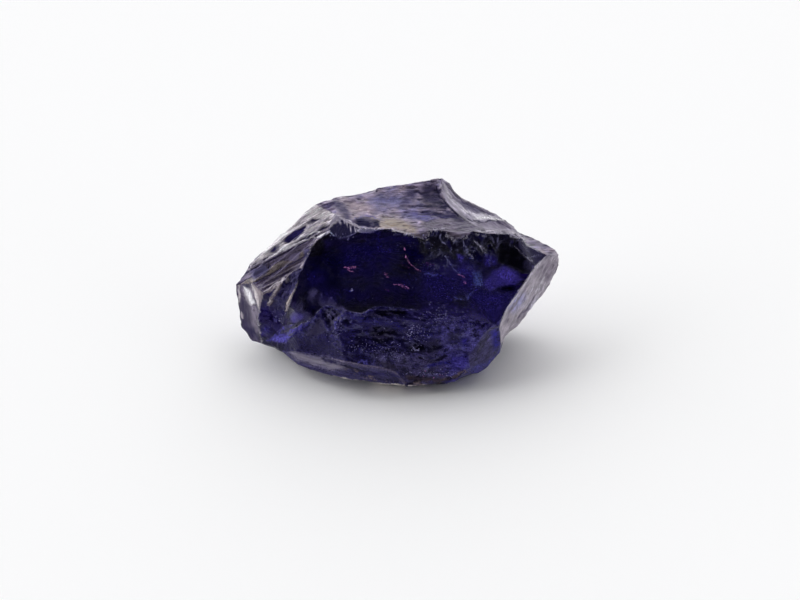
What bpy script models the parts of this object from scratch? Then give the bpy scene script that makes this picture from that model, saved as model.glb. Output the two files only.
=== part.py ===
"""One rough piece of gem iolite (cordierite), broken on every side, as Blender objects at real size.

The stone is drawn as a net of ridges, where two fracture faces meet, and the faces that span them.
Each face is stretched over its ridges like a film, hollowed as a shell-like fracture is, and then
bitten by the smaller chips that came off later. Drawing units are millimetres, +Z up, the front at -Y.
"""

import math

import bmesh
import bpy
import numpy
from mathutils import Vector, noise
from mathutils.geometry import delaunay_2d_cdt

MM = 0.001
DRAWN_LENGTH = 30.4  # tip to tip along X, as the corners below are placed
LENGTH = 30.4  # the length that the stone is built to
FRONT_SPACING = 0.52  # between mesh points on the faces seen from the front and above
BACK_SPACING = 0.95
BORDER_CLEARANCE = 0.55  # how near an inner point may come to a ridge, in spacings
FILM_ROUNDS = 160  # smoothing rounds that pull each face tight over its ridges
FILM_PULL = 0.5  # how far a point moves to the middle of its neighbours in a round
RIDGE_WAVER = (1.7, 0.07)  # size and height of the small bends in the ridges seen from the front
BACK_WAVER = (2.6, 0.38)  # and in the ridges that only the back and the underside have
RISER_SHARE = 0.22  # the part of a layer's width taken by its steep edge
LAYER_FADE = 0.9  # the layers die out this near to a ridge
ROUGH_SIZE = 1.6  # width of the lumps that make a face uneven
ROUGH_FADE = 1.2  # the lumps die out this near to a ridge
BLUNTING = 0.3  # how much the rims of the bites are worn
HEART = (0.0, 1.5, 6.0)  # a place well inside the stone
INSIDE_ONLY = 1  # the triangulation's choice to keep only triangles inside the border
SAME_POINT = 1e-7  # points closer than this are one
WAVER_OFFSETS = ((31.0, 0.0, 0.0), (0.0, 47.0, 0.0), (0.0, 0.0, 59.0))  # one noise for each axis
WAVER_LIFT = 1.5  # ridges lower than this bend less up and down, and not at all on the underside

STONE_COLOUR = (0.035, 0.012, 0.19, 1.0)
STONE_ROUGHNESS = 0.12
STONE_IOR = 1.54

# Corners, where three or more ridges meet
CORNERS = {
    "left_tip": (-15.3, 3.0, 5.5),
    "left_shelf": (-14.6, 3.6, 6.1),
    "crest_dip": (-5.8, 7.3, 12.5),
    "peak": (4.2, 8.8, 13.7),
    "scoop_end": (11.3, 4.9, 10.2),
    "right_tip": (15.0, 2.5, 9.2),
    "tip_notch": (11.4, 0.9, 12.1),
    "tip_corner": (13.9, 1.2, 10.0),
    "tip_foot": (12.7, -0.1, 9.7),
    "heel_top": (9.3, -4.0, 5.7),
    "heel_corner": (9.5, -3.4, 2.2),
    "heel_toe": (6.6, -6.0, 2.5),
    "heel_keel": (5.5, -6.3, 1.2),
    "keel_bend": (1.1, -6.9, 1.0),
    "bevel_tip": (-10.9, -1.6, 1.0),
    "toe": (-12.8, -0.1, 0.8),
    "blade_top": (-12.5, -0.6, 7.0),
    "shoulder_knee": (-8.8, -0.6, 9.9),
    "brow_left": (-7.3, 0.6, 12.2),
    "chip_left": (-6.3, 0.7, 12.9),
    "chip_apex": (-5.7, 3.2, 13.3),
    "chip_right": (-3.4, 0.9, 13.2),
    "ledge_left": (-10.5, -2.2, 2.8),
    "back_middle": (-2.4, 9.7, 6.4),
    "back_right": (6.6, 9.3, 6.8),
    "base_left": (-8.8, 1.2, 0.0),
    "base_toe": (-6.9, -3.2, 0.0),
    "base_heel": (8.0, -3.1, 0.0),
    "base_right": (9.2, 1.2, 0.0),
    "base_back": (-0.8, 6.6, 0.0),
}

# Ridges, each from corner to corner through the bends between them
RIDGES = {
    "left_end": ["left_tip", "left_shelf"],
    "crest_left": ["left_shelf", (-14.0, 4.1, 7.0), (-12.2, 5.0, 8.5), (-10.3, 5.9, 10.1),
                   (-8.9, 6.4, 11.3), (-7.8, 6.8, 12.0), "crest_dip"],
    "crest_middle": ["crest_dip", (-4.1, 7.6, 12.6), (-2.3, 8.0, 12.8), (-1.9, 8.1, 13.1),
                     (0.4, 8.3, 13.3), (2.6, 8.6, 13.6), "peak"],
    "scoop_rim": ["peak", (4.9, 8.4, 13.4), (5.3, 8.0, 12.8), (6.0, 7.7, 12.2), (7.3, 7.2, 11.8),
                  (9.4, 6.4, 11.1), (10.7, 5.4, 10.6), "scoop_end"],
    "tip_back": ["scoop_end", (12.6, 4.4, 9.9), (14.0, 3.5, 9.7), (14.7, 2.9, 9.5), "right_tip"],
    "curl": ["peak", (4.1, 7.2, 13.2), (4.6, 5.6, 13.0), (5.4, 4.3, 12.9), (6.4, 3.2, 12.6),
             (7.2, 2.5, 12.4), (8.4, 2.3, 12.2), (10.1, 3.2, 11.5), "scoop_end"],
    "right_rim": ["right_tip", (15.1, 2.9, 8.1), (14.8, 3.3, 6.7), (14.5, 3.4, 5.5), (14.0, 3.1, 4.6),
                  (13.2, 2.3, 4.1), (11.9, 0.8, 3.1), (11.4, 0.2, 2.8), (10.4, -0.7, 2.5),
                  (9.9, -1.6, 2.4), "heel_corner"],
    "heel_rim": ["heel_corner", (8.7, -4.3, 1.8), (8.2, -4.7, 1.4), (7.4, -5.2, 1.2),
                 (6.1, -5.5, 1.2), "heel_keel"],
    "keel_right": ["heel_keel", (4.9, -6.6, 1.1), (2.9, -6.8, 1.0), "keel_bend"],
    "keel_left": ["keel_bend", (-0.5, -6.8, 1.0), (-2.7, -6.4, 1.1), (-4.9, -6.0, 1.1),
                  (-7.8, -4.8, 1.1), (-9.4, -3.6, 1.0), "bevel_tip"],
    "toe_line": ["bevel_tip", (-11.7, -0.9, 1.0), "toe"],
    "left_rim": ["toe", (-13.8, 0.4, 0.8), (-14.8, 1.2, 1.8), (-15.1, 2.2, 3.7), "left_tip"],
    "blade_edge": ["blade_top", (-12.9, -0.7, 5.4), (-13.1, -0.6, 3.9), (-13.0, -0.3, 1.7), "toe"],
    "blade_shelf": ["left_shelf", (-13.7, 1.4, 6.8), "blade_top"],
    "shoulder_foot": ["blade_top", (-10.7, -0.6, 8.3), (-9.8, -0.4, 9.2), "shoulder_knee"],
    "shoulder_side": ["shoulder_knee", (-8.2, 0.0, 11.0), (-8.0, 0.3, 11.6), "brow_left"],
    "sliver": ["shoulder_knee", (-9.3, -1.3, 8.5), (-9.9, -1.8, 7.1), (-10.3, -2.0, 5.7),
               (-10.6, -2.0, 3.8), "ledge_left"],
    "toe_ridge": ["ledge_left", "bevel_tip"],
    "brow_tip": ["brow_left", "chip_left"],
    "chip_left_side": ["chip_left", (-6.2, 2.0, 13.2), "chip_apex"],
    "chip_crest": ["crest_dip", "chip_apex"],
    "chip_right_side": ["chip_apex", (-4.7, 2.0, 13.3), "chip_right"],
    "chip_foot": ["chip_right", (-4.0, 0.3, 13.0), (-5.2, 0.0, 12.7), (-6.1, 0.3, 12.8), "chip_left"],
    "brow": ["chip_right", (-0.6, 0.6, 13.3), (0.4, 0.2, 13.2), (1.6, -0.5, 13.2), (2.5, -0.9, 13.1),
             (3.0, 0.6, 13.2), (4.1, 0.6, 13.2), (4.5, -0.4, 13.2), (5.1, -0.9, 13.1),
             (6.3, -0.3, 13.1), (6.9, 0.5, 13.2), (8.2, 0.4, 13.0), (10.0, 0.8, 12.7), "tip_notch"],
    "tip_side": ["tip_notch", (12.0, 1.0, 11.2), "tip_corner"],
    "tip_end": ["tip_corner", "right_tip"],
    "tip_edge": ["tip_corner", (13.3, 0.6, 9.9), "tip_foot"],
    "tip_cut": ["tip_foot", (11.6, -0.7, 11.2), (10.6, -0.4, 12.2), "tip_notch"],
    "right_edge": ["tip_foot", (11.9, -1.0, 8.7), (10.8, -2.2, 7.9), (10.0, -3.1, 7.1),
                   (9.5, -3.8, 6.4), "heel_top"],
    "heel_side": ["heel_top", (9.5, -4.0, 3.9), "heel_corner"],
    "heel_foot": ["heel_corner", (8.0, -4.9, 2.1), "heel_toe"],
    "heel_front": ["heel_toe", (6.4, -6.0, 3.7), (7.0, -5.7, 4.3), (7.7, -5.2, 5.4),
                   (8.5, -4.6, 6.1), "heel_top"],
    "heel_drop": ["heel_toe", "heel_keel"],
    "ledge": ["ledge_left", (-8.9, -3.5, 5.1), (-7.2, -4.3, 7.2), (-6.8, -4.1, 7.9),
              (-6.0, -4.2, 8.1), (-5.4, -4.5, 7.9), (-4.2, -4.8, 7.8), (-3.3, -4.9, 7.6),
              (-2.8, -4.8, 7.9), (-2.3, -4.6, 8.2), (-1.4, -4.6, 8.4), (-0.2, -4.7, 8.3),
              (0.7, -4.8, 8.1), (2.0, -4.9, 8.0), (3.8, -4.9, 7.6), (6.1, -4.7, 7.1),
              (7.9, -4.4, 6.4), "heel_top"],
    "bevel_edge": ["bevel_tip", (-9.6, -3.2, 2.2), (-8.3, -4.5, 2.7), (-6.2, -5.7, 3.3),
                   (-4.9, -6.2, 3.3), (-3.5, -6.5, 3.2), (-1.6, -6.7, 3.1), (-0.3, -6.9, 2.7),
                   (0.7, -6.9, 1.4), "keel_bend"],
    "spine_left": ["crest_dip", (-4.2, 9.1, 9.4), "back_middle"],
    "spine_right": ["peak", (5.6, 9.7, 10.6), "back_right"],
    "belt_left": ["left_tip", (-13.4, 5.0, 4.9), (-9.6, 7.6, 5.3), (-6.0, 8.9, 5.6), "back_middle"],
    "belt_middle": ["back_middle", (1.8, 10.2, 6.9), "back_right"],
    "belt_right": ["back_right", (9.6, 7.8, 7.2), (13.0, 5.3, 8.2), "right_tip"],
    "foot_left": ["left_tip", (-12.0, 2.6, 2.0), "base_left"],
    "foot_toe": ["toe", (-9.8, -1.4, 0.3), "base_toe"],
    "foot_heel": ["heel_corner", "base_heel"],
    "foot_right": ["right_tip", (14.2, 4.1, 6.8), (12.9, 4.9, 4.0), (11.2, 3.9, 1.5), "base_right"],
    "foot_back": ["back_middle", (-1.9, 8.6, 2.6), "base_back"],
    "base_edge_left": ["base_left", "base_toe"],
    "base_edge_front": ["base_toe", (-1.5, -5.5, 0.0), (4.2, -5.5, 0.0), "base_heel"],
    "base_edge_heel": ["base_heel", "base_right"],
    "base_edge_right": ["base_right", (6.2, 5.4, 0.0), "base_back"],
    "base_edge_back": ["base_back", (-6.4, 5.0, 0.0), "base_left"],
}

# Fracture faces. The border names the ridges once round the face. grain is the direction that its
# layers run in, dish the depth of its hollow, rough the height of its unevenness, and layers the
# width and height of the stepped layers that it breaks into. A far face is hidden from the front.
FACES = {
    "top": dict(border=["crest_middle", "curl", "tip_back", "tip_end", "tip_side", "brow",
                        "chip_right_side", "chip_crest"],
                grain=(1, 0.1, 0), dish=0.25, rough=0.25),
    "scoop": dict(border=["scoop_rim", "curl"], grain=(1, -0.8, -0.3), dish=0.5, rough=0.05),
    "chip": dict(border=["chip_left_side", "chip_right_side", "chip_foot"],
                 grain=(0, -1, 0), dish=0.35, rough=0.05),
    "shoulder": dict(border=["crest_left", "chip_crest", "chip_left_side", "brow_tip",
                             "shoulder_side", "shoulder_foot", "blade_shelf"],
                     grain=(1.0, 0.15, 0.72), dish=-0.1, rough=0.05, layers=(1.25, 0.5)),
    "window": dict(border=["brow_tip", "chip_foot", "brow", "tip_cut", "right_edge", "ledge",
                           "sliver", "shoulder_side"],
                   grain=(1, 0, 0), dish=0.45, rough=0.1),
    "tip_facet": dict(border=["tip_side", "tip_edge", "tip_cut"],
                      grain=(1, 0, -1), dish=0.08, rough=0.0),
    "right_bevel": dict(border=["tip_end", "right_rim", "heel_side", "right_edge", "tip_edge"],
                        grain=(-0.6, -0.7, -0.5), dish=0.2, rough=0.06),
    "heel": dict(border=["heel_side", "heel_foot", "heel_front"],
                 grain=(0.3, 0.2, 1), dish=0.08, rough=0.0),
    "heel_under": dict(border=["heel_rim", "heel_drop", "heel_foot"],
                       grain=(1, 0.6, 0), dish=0.05, rough=0.0),
    "apron": dict(border=["ledge", "heel_front", "heel_drop", "keel_right", "bevel_edge", "toe_ridge"],
                  grain=(1, 0, 0), dish=0.1, rough=0.35),
    "bevel": dict(border=["bevel_edge", "keel_left"], grain=(1, 0, 0), dish=0.05, rough=0.07),
    "toe_face": dict(border=["shoulder_foot", "sliver", "toe_ridge", "toe_line", "blade_edge"],
                     grain=(0.1, 0, 1), dish=0.1, rough=0.25),
    "blade": dict(border=["left_end", "blade_shelf", "blade_edge", "left_rim"],
                  grain=(0.05, -0.1, 1), dish=0.12, rough=0.05),
    "back_left": dict(border=["left_end", "crest_left", "spine_left", "belt_left"],
                      grain=(1, 0.3, 0.4), dish=0.4, rough=0.15, far=True),
    "back": dict(border=["crest_middle", "spine_right", "belt_middle", "spine_left"],
                 grain=(1, 0, 0), dish=0.5, rough=0.15, far=True),
    "back_right": dict(border=["scoop_rim", "tip_back", "belt_right", "spine_right"],
                       grain=(1, -0.6, 0), dish=0.4, rough=0.15, far=True),
    "under_back_left": dict(border=["belt_left", "foot_back", "base_edge_back", "foot_left"],
                            grain=(1, 0.3, 0), dish=0.3, rough=0.15, far=True),
    "under_back_right": dict(border=["belt_middle", "belt_right", "foot_right", "base_edge_right",
                                     "foot_back"],
                             grain=(1, -0.5, 0), dish=0.3, rough=0.15, far=True),
    "under_left": dict(border=["left_rim", "foot_left", "base_edge_left", "foot_toe"],
                       grain=(0.6, -0.6, 0), dish=0.1, rough=0.08, far=True),
    "under_right": dict(border=["right_rim", "foot_heel", "base_edge_heel", "foot_right"],
                        grain=(0.5, 0.8, 0), dish=0.2, rough=0.12, far=True),
    "under_front": dict(border=["toe_line", "foot_toe", "base_edge_front", "foot_heel", "heel_rim",
                                "keel_right", "keel_left"],
                        grain=(1, 0, 0), dish=0.0, rough=0.0, far=True),
    "base": dict(border=["base_edge_left", "base_edge_front", "base_edge_heel", "base_edge_right",
                         "base_edge_back"],
                 grain=(1, 0, 0), dish=0.0, rough=0.0, far=True),
}

# Chips and shells bitten out afterwards: middle of the bite, the way it faces, its width and depth
BITES = [
    ((-4.6, -1.9, 10.6), (-0.12, -0.74, 0.66), 9.5, 0.75),
    ((2.2, -2.0, 10.6), (0.08, -0.74, 0.66), 9.0, 0.70),
    ((8.2, -2.2, 10.0), (0.30, -0.74, 0.60), 7.5, 0.55),
    ((-7.6, -3.6, 6.2), (-0.30, -0.80, 0.50), 4.4, 0.35),
    ((-4.6, -5.2, 6.2), (-0.10, -0.96, 0.20), 4.2, 0.50),
    ((-0.6, -5.5, 6.1), (0.05, -0.96, 0.20), 4.6, 0.45),
    ((4.2, -5.5, 5.4), (0.20, -0.94, 0.25), 5.0, 0.40),
    ((-7.2, -4.2, 4.0), (-0.55, -0.80, 0.22), 5.2, 0.30),
    ((3.4, -6.4, 2.6), (0.15, -0.97, 0.10), 3.4, 0.30),
    ((-2.9, 1.6, 13.2), (0.0, -0.15, 1.0), 2.9, 0.32),
    ((2.9, 6.6, 13.3), (0.1, -0.1, 1.0), 2.7, 0.42),
    ((3.0, 3.6, 13.2), (0.05, -0.2, 1.0), 2.4, 0.25),
    ((-11.6, -0.9, 5.0), (-0.35, -0.92, 0.10), 3.2, 0.35),
    ((-11.6, -1.2, 2.6), (-0.30, -0.94, 0.10), 2.6, 0.30),
    ((-9.0, 7.3, 7.4), (-0.40, 0.80, 0.40), 6.0, 1.0),
    ((-5.0, 8.6, 9.2), (-0.15, 0.88, 0.42), 5.0, 0.9),
    ((-0.4, 9.3, 9.6), (0.0, 0.98, 0.20), 5.6, 0.7),
    ((3.4, 9.4, 7.0), (0.10, 0.99, 0.05), 4.2, 0.45),
    ((10.0, 6.8, 7.6), (0.55, 0.82, 0.05), 3.6, 0.35),
    ((-7.4, 6.9, 3.2), (-0.45, 0.75, -0.50), 4.6, 0.6),
    ((2.5, 8.6, 3.2), (0.0, 0.85, -0.50), 6.0, 0.9),
    ((9.0, 6.2, 4.4), (0.50, 0.70, -0.50), 4.4, 0.6),
    ((13.2, 1.2, 6.6), (0.81, -0.56, -0.18), 4.2, 0.30),
    ((11.2, -1.4, 4.9), (0.81, -0.56, -0.18), 3.6, 0.25),
]


def ridge_stops(name):
    """The corners and bends of a ridge as vectors."""
    return [Vector(CORNERS[stop] if isinstance(stop, str) else stop) for stop in RIDGES[name]]


def points_between(stops, spacing):
    """Even points along the straight runs between stops, without the two end corners."""
    points = []
    for start, end in zip(stops, stops[1:]):
        count = max(1, round((end - start).length / spacing))
        points += [start.lerp(end, step / count) for step in range(1, count + 1)]
    return points[:-1]


def waver(point, size, height):
    """A small shift that changes slowly from place to place; the flat underside keeps its level."""
    shift = Vector([noise.noise(point / size + Vector(offset)) * height for offset in WAVER_OFFSETS])
    shift.z *= min(1.0, point.z / WAVER_LIFT)
    return shift


def lay_ridges():
    """All ridge points, and for each ridge the numbers of its points from end to end."""
    points = [Vector(place) for place in CORNERS.values()]
    numbers = {name: number for number, name in enumerate(CORNERS)}
    far_ridges = set(RIDGES)
    for face in FACES.values():
        if not face.get("far"):
            far_ridges -= set(face["border"])
    lines = {}
    for name, stops in RIDGES.items():
        far = name in far_ridges
        first = len(points)
        for point in points_between(ridge_stops(name), BACK_SPACING if far else FRONT_SPACING):
            points.append(point + waver(point, *(BACK_WAVER if far else RIDGE_WAVER)))
        lines[name] = [numbers[stops[0]], *range(first, len(points)), numbers[stops[-1]]]
    return points, lines


def walk_border(face, lines):
    """Point numbers once round a face, each ridge taken in the direction that joins on."""
    names = face["border"]
    ring = list(lines[names[0]])
    if ring[-1] not in (lines[names[1]][0], lines[names[1]][-1]):
        ring.reverse()
    for name in names[1:]:
        line = lines[name]
        ring += line[1:] if line[0] == ring[-1] else line[-2::-1]
    return ring[:-1]


def face_frame(places, grain):
    """Middle, grain direction, cross direction and normal of a face's best plane."""
    middle = sum(places, Vector()) / len(places)
    normal = Vector()
    for here, after in zip(places, places[1:] + places[:1]):
        normal += (here - middle).cross(after - middle)
    normal.normalize()
    along = Vector(grain)
    along = (along - normal * along.dot(normal)).normalized()
    return middle, along, normal.cross(along), normal


def border_distance(spots, ring):
    """For each flat spot its distance to the ring, negative outside it."""
    spots = numpy.asarray(spots, dtype=float).reshape(-1, 2)
    starts = numpy.asarray(ring)
    ends = numpy.roll(starts, -1, axis=0)
    nearest = numpy.full(len(spots), numpy.inf)
    inside = numpy.zeros(len(spots), dtype=bool)
    for start, end in zip(starts, ends):
        run = end - start
        share = numpy.clip(((spots - start) @ run) / (run @ run), 0.0, 1.0)
        gap = numpy.linalg.norm(spots - start - share[:, None] * run, axis=1)
        nearest = numpy.minimum(nearest, gap)
        crosses = (start[1] > spots[:, 1]) != (end[1] > spots[:, 1])
        if run[1]:
            meeting = start[0] + (spots[:, 1] - start[1]) / run[1] * run[0]
            inside ^= crosses & (spots[:, 0] < meeting)
    return numpy.where(inside, nearest, -nearest)


def inner_spots(ring, spacing, layers):
    """Flat points inside a face, in rows along its grain; stepped layers have a row at each edge."""
    low = numpy.min(ring, axis=0)
    high = numpy.max(ring, axis=0)
    if layers:
        width = layers[0]
        first = math.floor(low[1] / width)
        rows = [(first + step) * width + shift
                for step in range(int((high[1] - low[1]) / width) + 2)
                for shift in (0.0, RISER_SHARE * width, (1.0 + RISER_SHARE) / 2.0 * width)]
    else:
        rows = numpy.arange(low[1], high[1], spacing * math.sqrt(3.0) / 2.0)
    spots = []
    for number, row in enumerate(rows):
        offset = spacing / 2.0 if number % 2 else 0.0
        spots += [(across, row) for across in numpy.arange(low[0] + offset, high[0], spacing)]
    room = border_distance(spots, ring)
    return [spot for spot, gap in zip(spots, room) if gap > BORDER_CLEARANCE * spacing]


def layer_height(across, layers):
    """Saw-tooth profile of stepped layers: a steep edge, then a long slope back up."""
    width, height = layers
    share = (across / width) % 1.0
    if share < RISER_SHARE:
        return height * (0.5 - share / RISER_SHARE)
    return height * ((share - RISER_SHARE) / (1.0 - RISER_SHARE) - 0.5)


def span_face(face, points, lines):
    """Triangles of one face, and what shapes each of its inner points later."""
    ring_numbers = walk_border(face, lines)
    places = [points[number] for number in ring_numbers]
    middle, along, across, normal = face_frame(places, face["grain"])
    ring = [((place - middle).dot(along), (place - middle).dot(across)) for place in places]
    spacing = BACK_SPACING if face.get("far") else FRONT_SPACING
    spots = inner_spots(ring, spacing, face.get("layers"))
    count = len(ring)
    edges = [(number, (number + 1) % count) for number in range(count)]
    flat = [Vector(spot) for spot in ring + spots]
    found, _, triangles, origins, _, _ = delaunay_2d_cdt(flat, edges, [], INSIDE_ONLY, SAME_POINT)
    numbers = []
    inner = {}
    for place, origin in zip(found, origins):
        if origin and origin[0] < count:
            numbers.append(ring_numbers[origin[0]])
            continue
        numbers.append(len(points))
        inner[len(points)] = (place.x, place.y)
        points.append(middle + along * place.x + across * place.y)
    return [[numbers[corner] for corner in triangle] for triangle in triangles], inner, ring, normal


def hollow_face(face, verts, inner, ring, normal):
    """Dishes a face, deepest where it is furthest from its ridges."""
    room = border_distance(list(inner.values()), ring)
    for number, gap in zip(inner, room):
        verts[number].co -= normal * face["dish"] * (1.0 - (1.0 - gap / room.max()) ** 2)


def roughen_face(face, verts, inner, ring, normal):
    """Makes a face uneven, and steps it where it breaks into layers."""
    room = border_distance(list(inner.values()), ring)
    for (number, (_, row)), gap in zip(inner.items(), room):
        vert = verts[number]
        height = face["rough"] * noise.noise(vert.co / ROUGH_SIZE) * min(1.0, gap / ROUGH_FADE)
        if face.get("layers"):
            height += layer_height(row, face["layers"]) * min(1.0, gap / LAYER_FADE)
        vert.co += normal * height


def bite(verts, spot, facing, width, depth):
    """Pushes every point that lies inside the biting ball back onto the ball."""
    radius = (width * width / 4.0 + depth * depth) / (2.0 * depth)
    facing = Vector(facing).normalized()
    centre = Vector(spot) + facing * (radius - depth)
    for vert in verts:
        offset = vert.co - centre
        if offset.length_squared >= radius * radius or (vert.co - Vector(spot)).length > width:
            continue
        along = offset.dot(facing)
        reach = math.sqrt(max(0.0, radius * radius - (offset.length_squared - along * along)))
        vert.co += facing * (-along - reach)


def smooth(mesh, verts, factor):
    bmesh.ops.smooth_vert(mesh, verts=verts, factor=factor, use_axis_x=True, use_axis_y=True,
                          use_axis_z=True)


def outward(normal, verts, inner):
    """A face's normal, turned to point away from the heart of the stone."""
    middle = sum((verts[number].co for number in inner), Vector()) / len(inner)
    return normal if normal.dot(middle - Vector(HEART)) > 0.0 else -normal


def carve_stone():
    """The whole stone as one closed bmesh, in millimetres."""
    points, lines = lay_ridges()
    ridge_count = len(points)
    spans = []
    for face in FACES.values():
        spans.append((face, *span_face(face, points, lines)))
    mesh = bmesh.new()
    verts = [mesh.verts.new(point) for point in points]
    for _, triangles, _, _, _ in spans:
        for triangle in triangles:
            mesh.faces.new([verts[number] for number in triangle])
    mesh.verts.index_update()
    for _ in range(FILM_ROUNDS):
        smooth(mesh, verts[ridge_count:], FILM_PULL)
    spans = [(face, inner, ring, outward(normal, verts, inner))
             for face, _, inner, ring, normal in spans if inner]
    for face, inner, ring, normal in spans:
        hollow_face(face, verts, inner, ring, normal)
    for spot, facing, width, depth in BITES:
        bite(verts, spot, facing, width, depth)
    smooth(mesh, verts[ridge_count:], BLUNTING)
    for face, inner, ring, normal in spans:
        roughen_face(face, verts, inner, ring, normal)
    bmesh.ops.recalc_face_normals(mesh, faces=mesh.faces)
    return mesh


def stone_material():
    material = bpy.data.materials.new("iolite")
    material.use_nodes = True
    shader = material.node_tree.nodes["Principled BSDF"]
    shader.inputs["Base Color"].default_value = STONE_COLOUR
    shader.inputs["Roughness"].default_value = STONE_ROUGHNESS
    shader.inputs["Metallic"].default_value = 0.0
    shader.inputs["IOR"].default_value = STONE_IOR
    shader.inputs["Transmission Weight"].default_value = 1.0
    return material


def stone_object():
    """The stone, standing on its flat underside with the origin below the middle of its box."""
    carved = carve_stone()
    lows = [min(vert.co[axis] for vert in carved.verts) for axis in range(3)]
    highs = [max(vert.co[axis] for vert in carved.verts) for axis in range(3)]
    origin = Vector(((lows[0] + highs[0]) / 2.0, (lows[1] + highs[1]) / 2.0, lows[2]))
    scale = MM * LENGTH / DRAWN_LENGTH
    for vert in carved.verts:
        vert.co = (vert.co - origin) * scale
    mesh = bpy.data.meshes.new("iolite")
    carved.to_mesh(mesh)
    carved.free()
    mesh.materials.append(stone_material())
    stone = bpy.data.objects.new("iolite", mesh)
    bpy.context.scene.collection.objects.link(stone)
    return stone


def main():
    for old in list(bpy.data.objects):
        bpy.data.objects.remove(old)
    stone_object()


main()
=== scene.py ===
"""The looks of one rough piece of gem iolite, a violet-blue cordierite, broken on every side.

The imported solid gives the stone's ridges and faces. Here its mesh is made finer and gets the relief that
the breaking left: ripples, layers, hackles and crushed places. Healed cracks and tiny flakes lie inside it.
Lengths are millimetres until a mesh is handed to Blender. Marks on the faces that the front camera sees
are placed in millimetres to the right of the middle of its view and above it, at the stone's own size.
"""

import math

import bmesh
import bpy
import numpy as np
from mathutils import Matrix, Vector, noise
from mathutils.bvhtree import BVHTree


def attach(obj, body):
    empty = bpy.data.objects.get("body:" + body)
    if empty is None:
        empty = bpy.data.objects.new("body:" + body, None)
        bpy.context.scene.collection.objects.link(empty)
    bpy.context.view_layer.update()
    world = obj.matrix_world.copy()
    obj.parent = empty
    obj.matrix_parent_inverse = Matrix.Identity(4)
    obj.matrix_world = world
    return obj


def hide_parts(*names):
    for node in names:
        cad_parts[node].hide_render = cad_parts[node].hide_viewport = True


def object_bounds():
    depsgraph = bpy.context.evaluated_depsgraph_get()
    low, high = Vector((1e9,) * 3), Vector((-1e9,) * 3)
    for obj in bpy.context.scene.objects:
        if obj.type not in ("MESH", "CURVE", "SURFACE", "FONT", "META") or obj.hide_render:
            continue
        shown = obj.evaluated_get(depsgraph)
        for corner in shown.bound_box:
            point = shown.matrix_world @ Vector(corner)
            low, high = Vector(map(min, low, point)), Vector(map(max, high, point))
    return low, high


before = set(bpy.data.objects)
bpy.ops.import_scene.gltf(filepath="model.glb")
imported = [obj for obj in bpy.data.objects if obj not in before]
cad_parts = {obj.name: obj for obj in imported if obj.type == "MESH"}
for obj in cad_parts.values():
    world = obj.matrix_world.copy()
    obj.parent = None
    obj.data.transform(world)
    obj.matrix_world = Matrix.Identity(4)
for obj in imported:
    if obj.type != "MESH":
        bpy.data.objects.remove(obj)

CAD_BOX = [list(corner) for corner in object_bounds()]
MM = 0.001

# The camera, as the stone was photographed: level with the stone's own length, from 35 degrees above
VIEW_TILT = math.radians(35)
VIEW_DISTANCE = 207.8
LENS = 100.0
SENSOR = 36.0
AIM_RIGHT = 0.305  # of the middle of the stone's box
AIM_BEHIND = 6.926  # the front of the box
AIM_HEIGHT = 5.8

RIDGE_ANGLE = math.radians(24)  # two faces that meet at more than this keep a hard ridge
SHARP_ANGLE = math.radians(38)  # and in the finished relief, edges sharper than this look broken

def outline(*lines):
    """One closed outline of lines laid end to end, without the points that they share."""
    points = [point for line in lines for point in line]
    return [point for point, before in zip(points, points[-1:] + points[:-1]) if point != before]


# Lines where the stone's faces meet or end, as the camera sees them, (right, up) in millimetres
SHOULDER_BACK = [(-15.3, 1.4), (-14.8, 2.5), (-12.3, 5.2), (-10.5, 7.1), (-9.1, 8.3), (-7.9, 8.9)]
CREST = [(-7.9, 8.9), (-5.9, 9.6), (-4.2, 10.0), (-2.5, 10.3), (0.2, 10.9), (2.3, 11.3), (3.9, 11.6)]
SCOOP_BACK = [(3.9, 11.6), (4.6, 11.0), (5.2, 10.2), (5.9, 9.7), (7.1, 9.2), (9.2, 8.1), (10.7, 7.1),
              (11.0, 6.4)]
SCOOP_FOOT = [(3.9, 11.6), (3.9, 10.1), (4.4, 9.1), (5.2, 8.3), (6.2, 7.5), (7.1, 6.9), (8.2, 6.6),
              (9.9, 6.5), (11.0, 6.4)]
CHIP_TOP = [(-6.0, 8.0), (-5.0, 7.4), (-3.6, 6.7)]
CHIP_SIDE = [(-6.0, 8.0), (-6.5, 7.3), (-6.6, 6.4)]
CHIP_FOOT = [(-6.6, 6.4), (-6.4, 6.0), (-5.5, 5.7), (-4.3, 6.2), (-3.6, 6.7)]
BROW = [(-3.6, 6.7), (-0.9, 6.6), (0.2, 6.3), (1.5, 5.9), (2.4, 5.6), (2.8, 6.5), (4.0, 6.5), (4.4, 6.0),
        (5.0, 5.6), (6.2, 5.9), (6.8, 6.4), (8.2, 6.2), (10.0, 6.2), (11.3, 5.8)]
TIP_TOP = [(11.3, 5.8), (12.0, 5.1), (13.7, 4.2)]
RIGHT_EDGE = [(12.7, 3.2), (11.8, 1.9), (10.8, 0.4), (10.0, -0.7), (9.3, -2.4)]
LEDGE = [(-10.7, -3.7), (-9.2, -2.6), (-7.6, -1.3), (-7.2, -0.6), (-6.3, -0.5), (-5.8, -0.8), (-4.5, -1.1),
         (-3.6, -1.3), (-3.1, -1.0), (-2.5, -0.7), (-1.7, -0.6), (-0.4, -0.7), (0.5, -0.8), (1.9, -1.0),
         (3.7, -1.4), (6.1, -1.7), (7.9, -2.1), (9.3, -2.4)]
SHOULDER_FOOT = [(-6.6, 6.4), (-7.6, 5.7), (-8.3, 5.0), (-8.6, 4.3), (-9.1, 3.1), (-10.1, 2.6), (-11.0, 1.7),
                 (-12.8, 0.6)]
TOE_RIDGE = [(-9.1, 3.1), (-9.6, 1.5), (-10.2, 0.0), (-10.6, -1.2), (-10.8, -2.8), (-10.7, -3.7)]
BLADE_TOP = [(-12.8, 0.6), (-13.8, 1.6), (-15.3, 1.4)]
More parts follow.
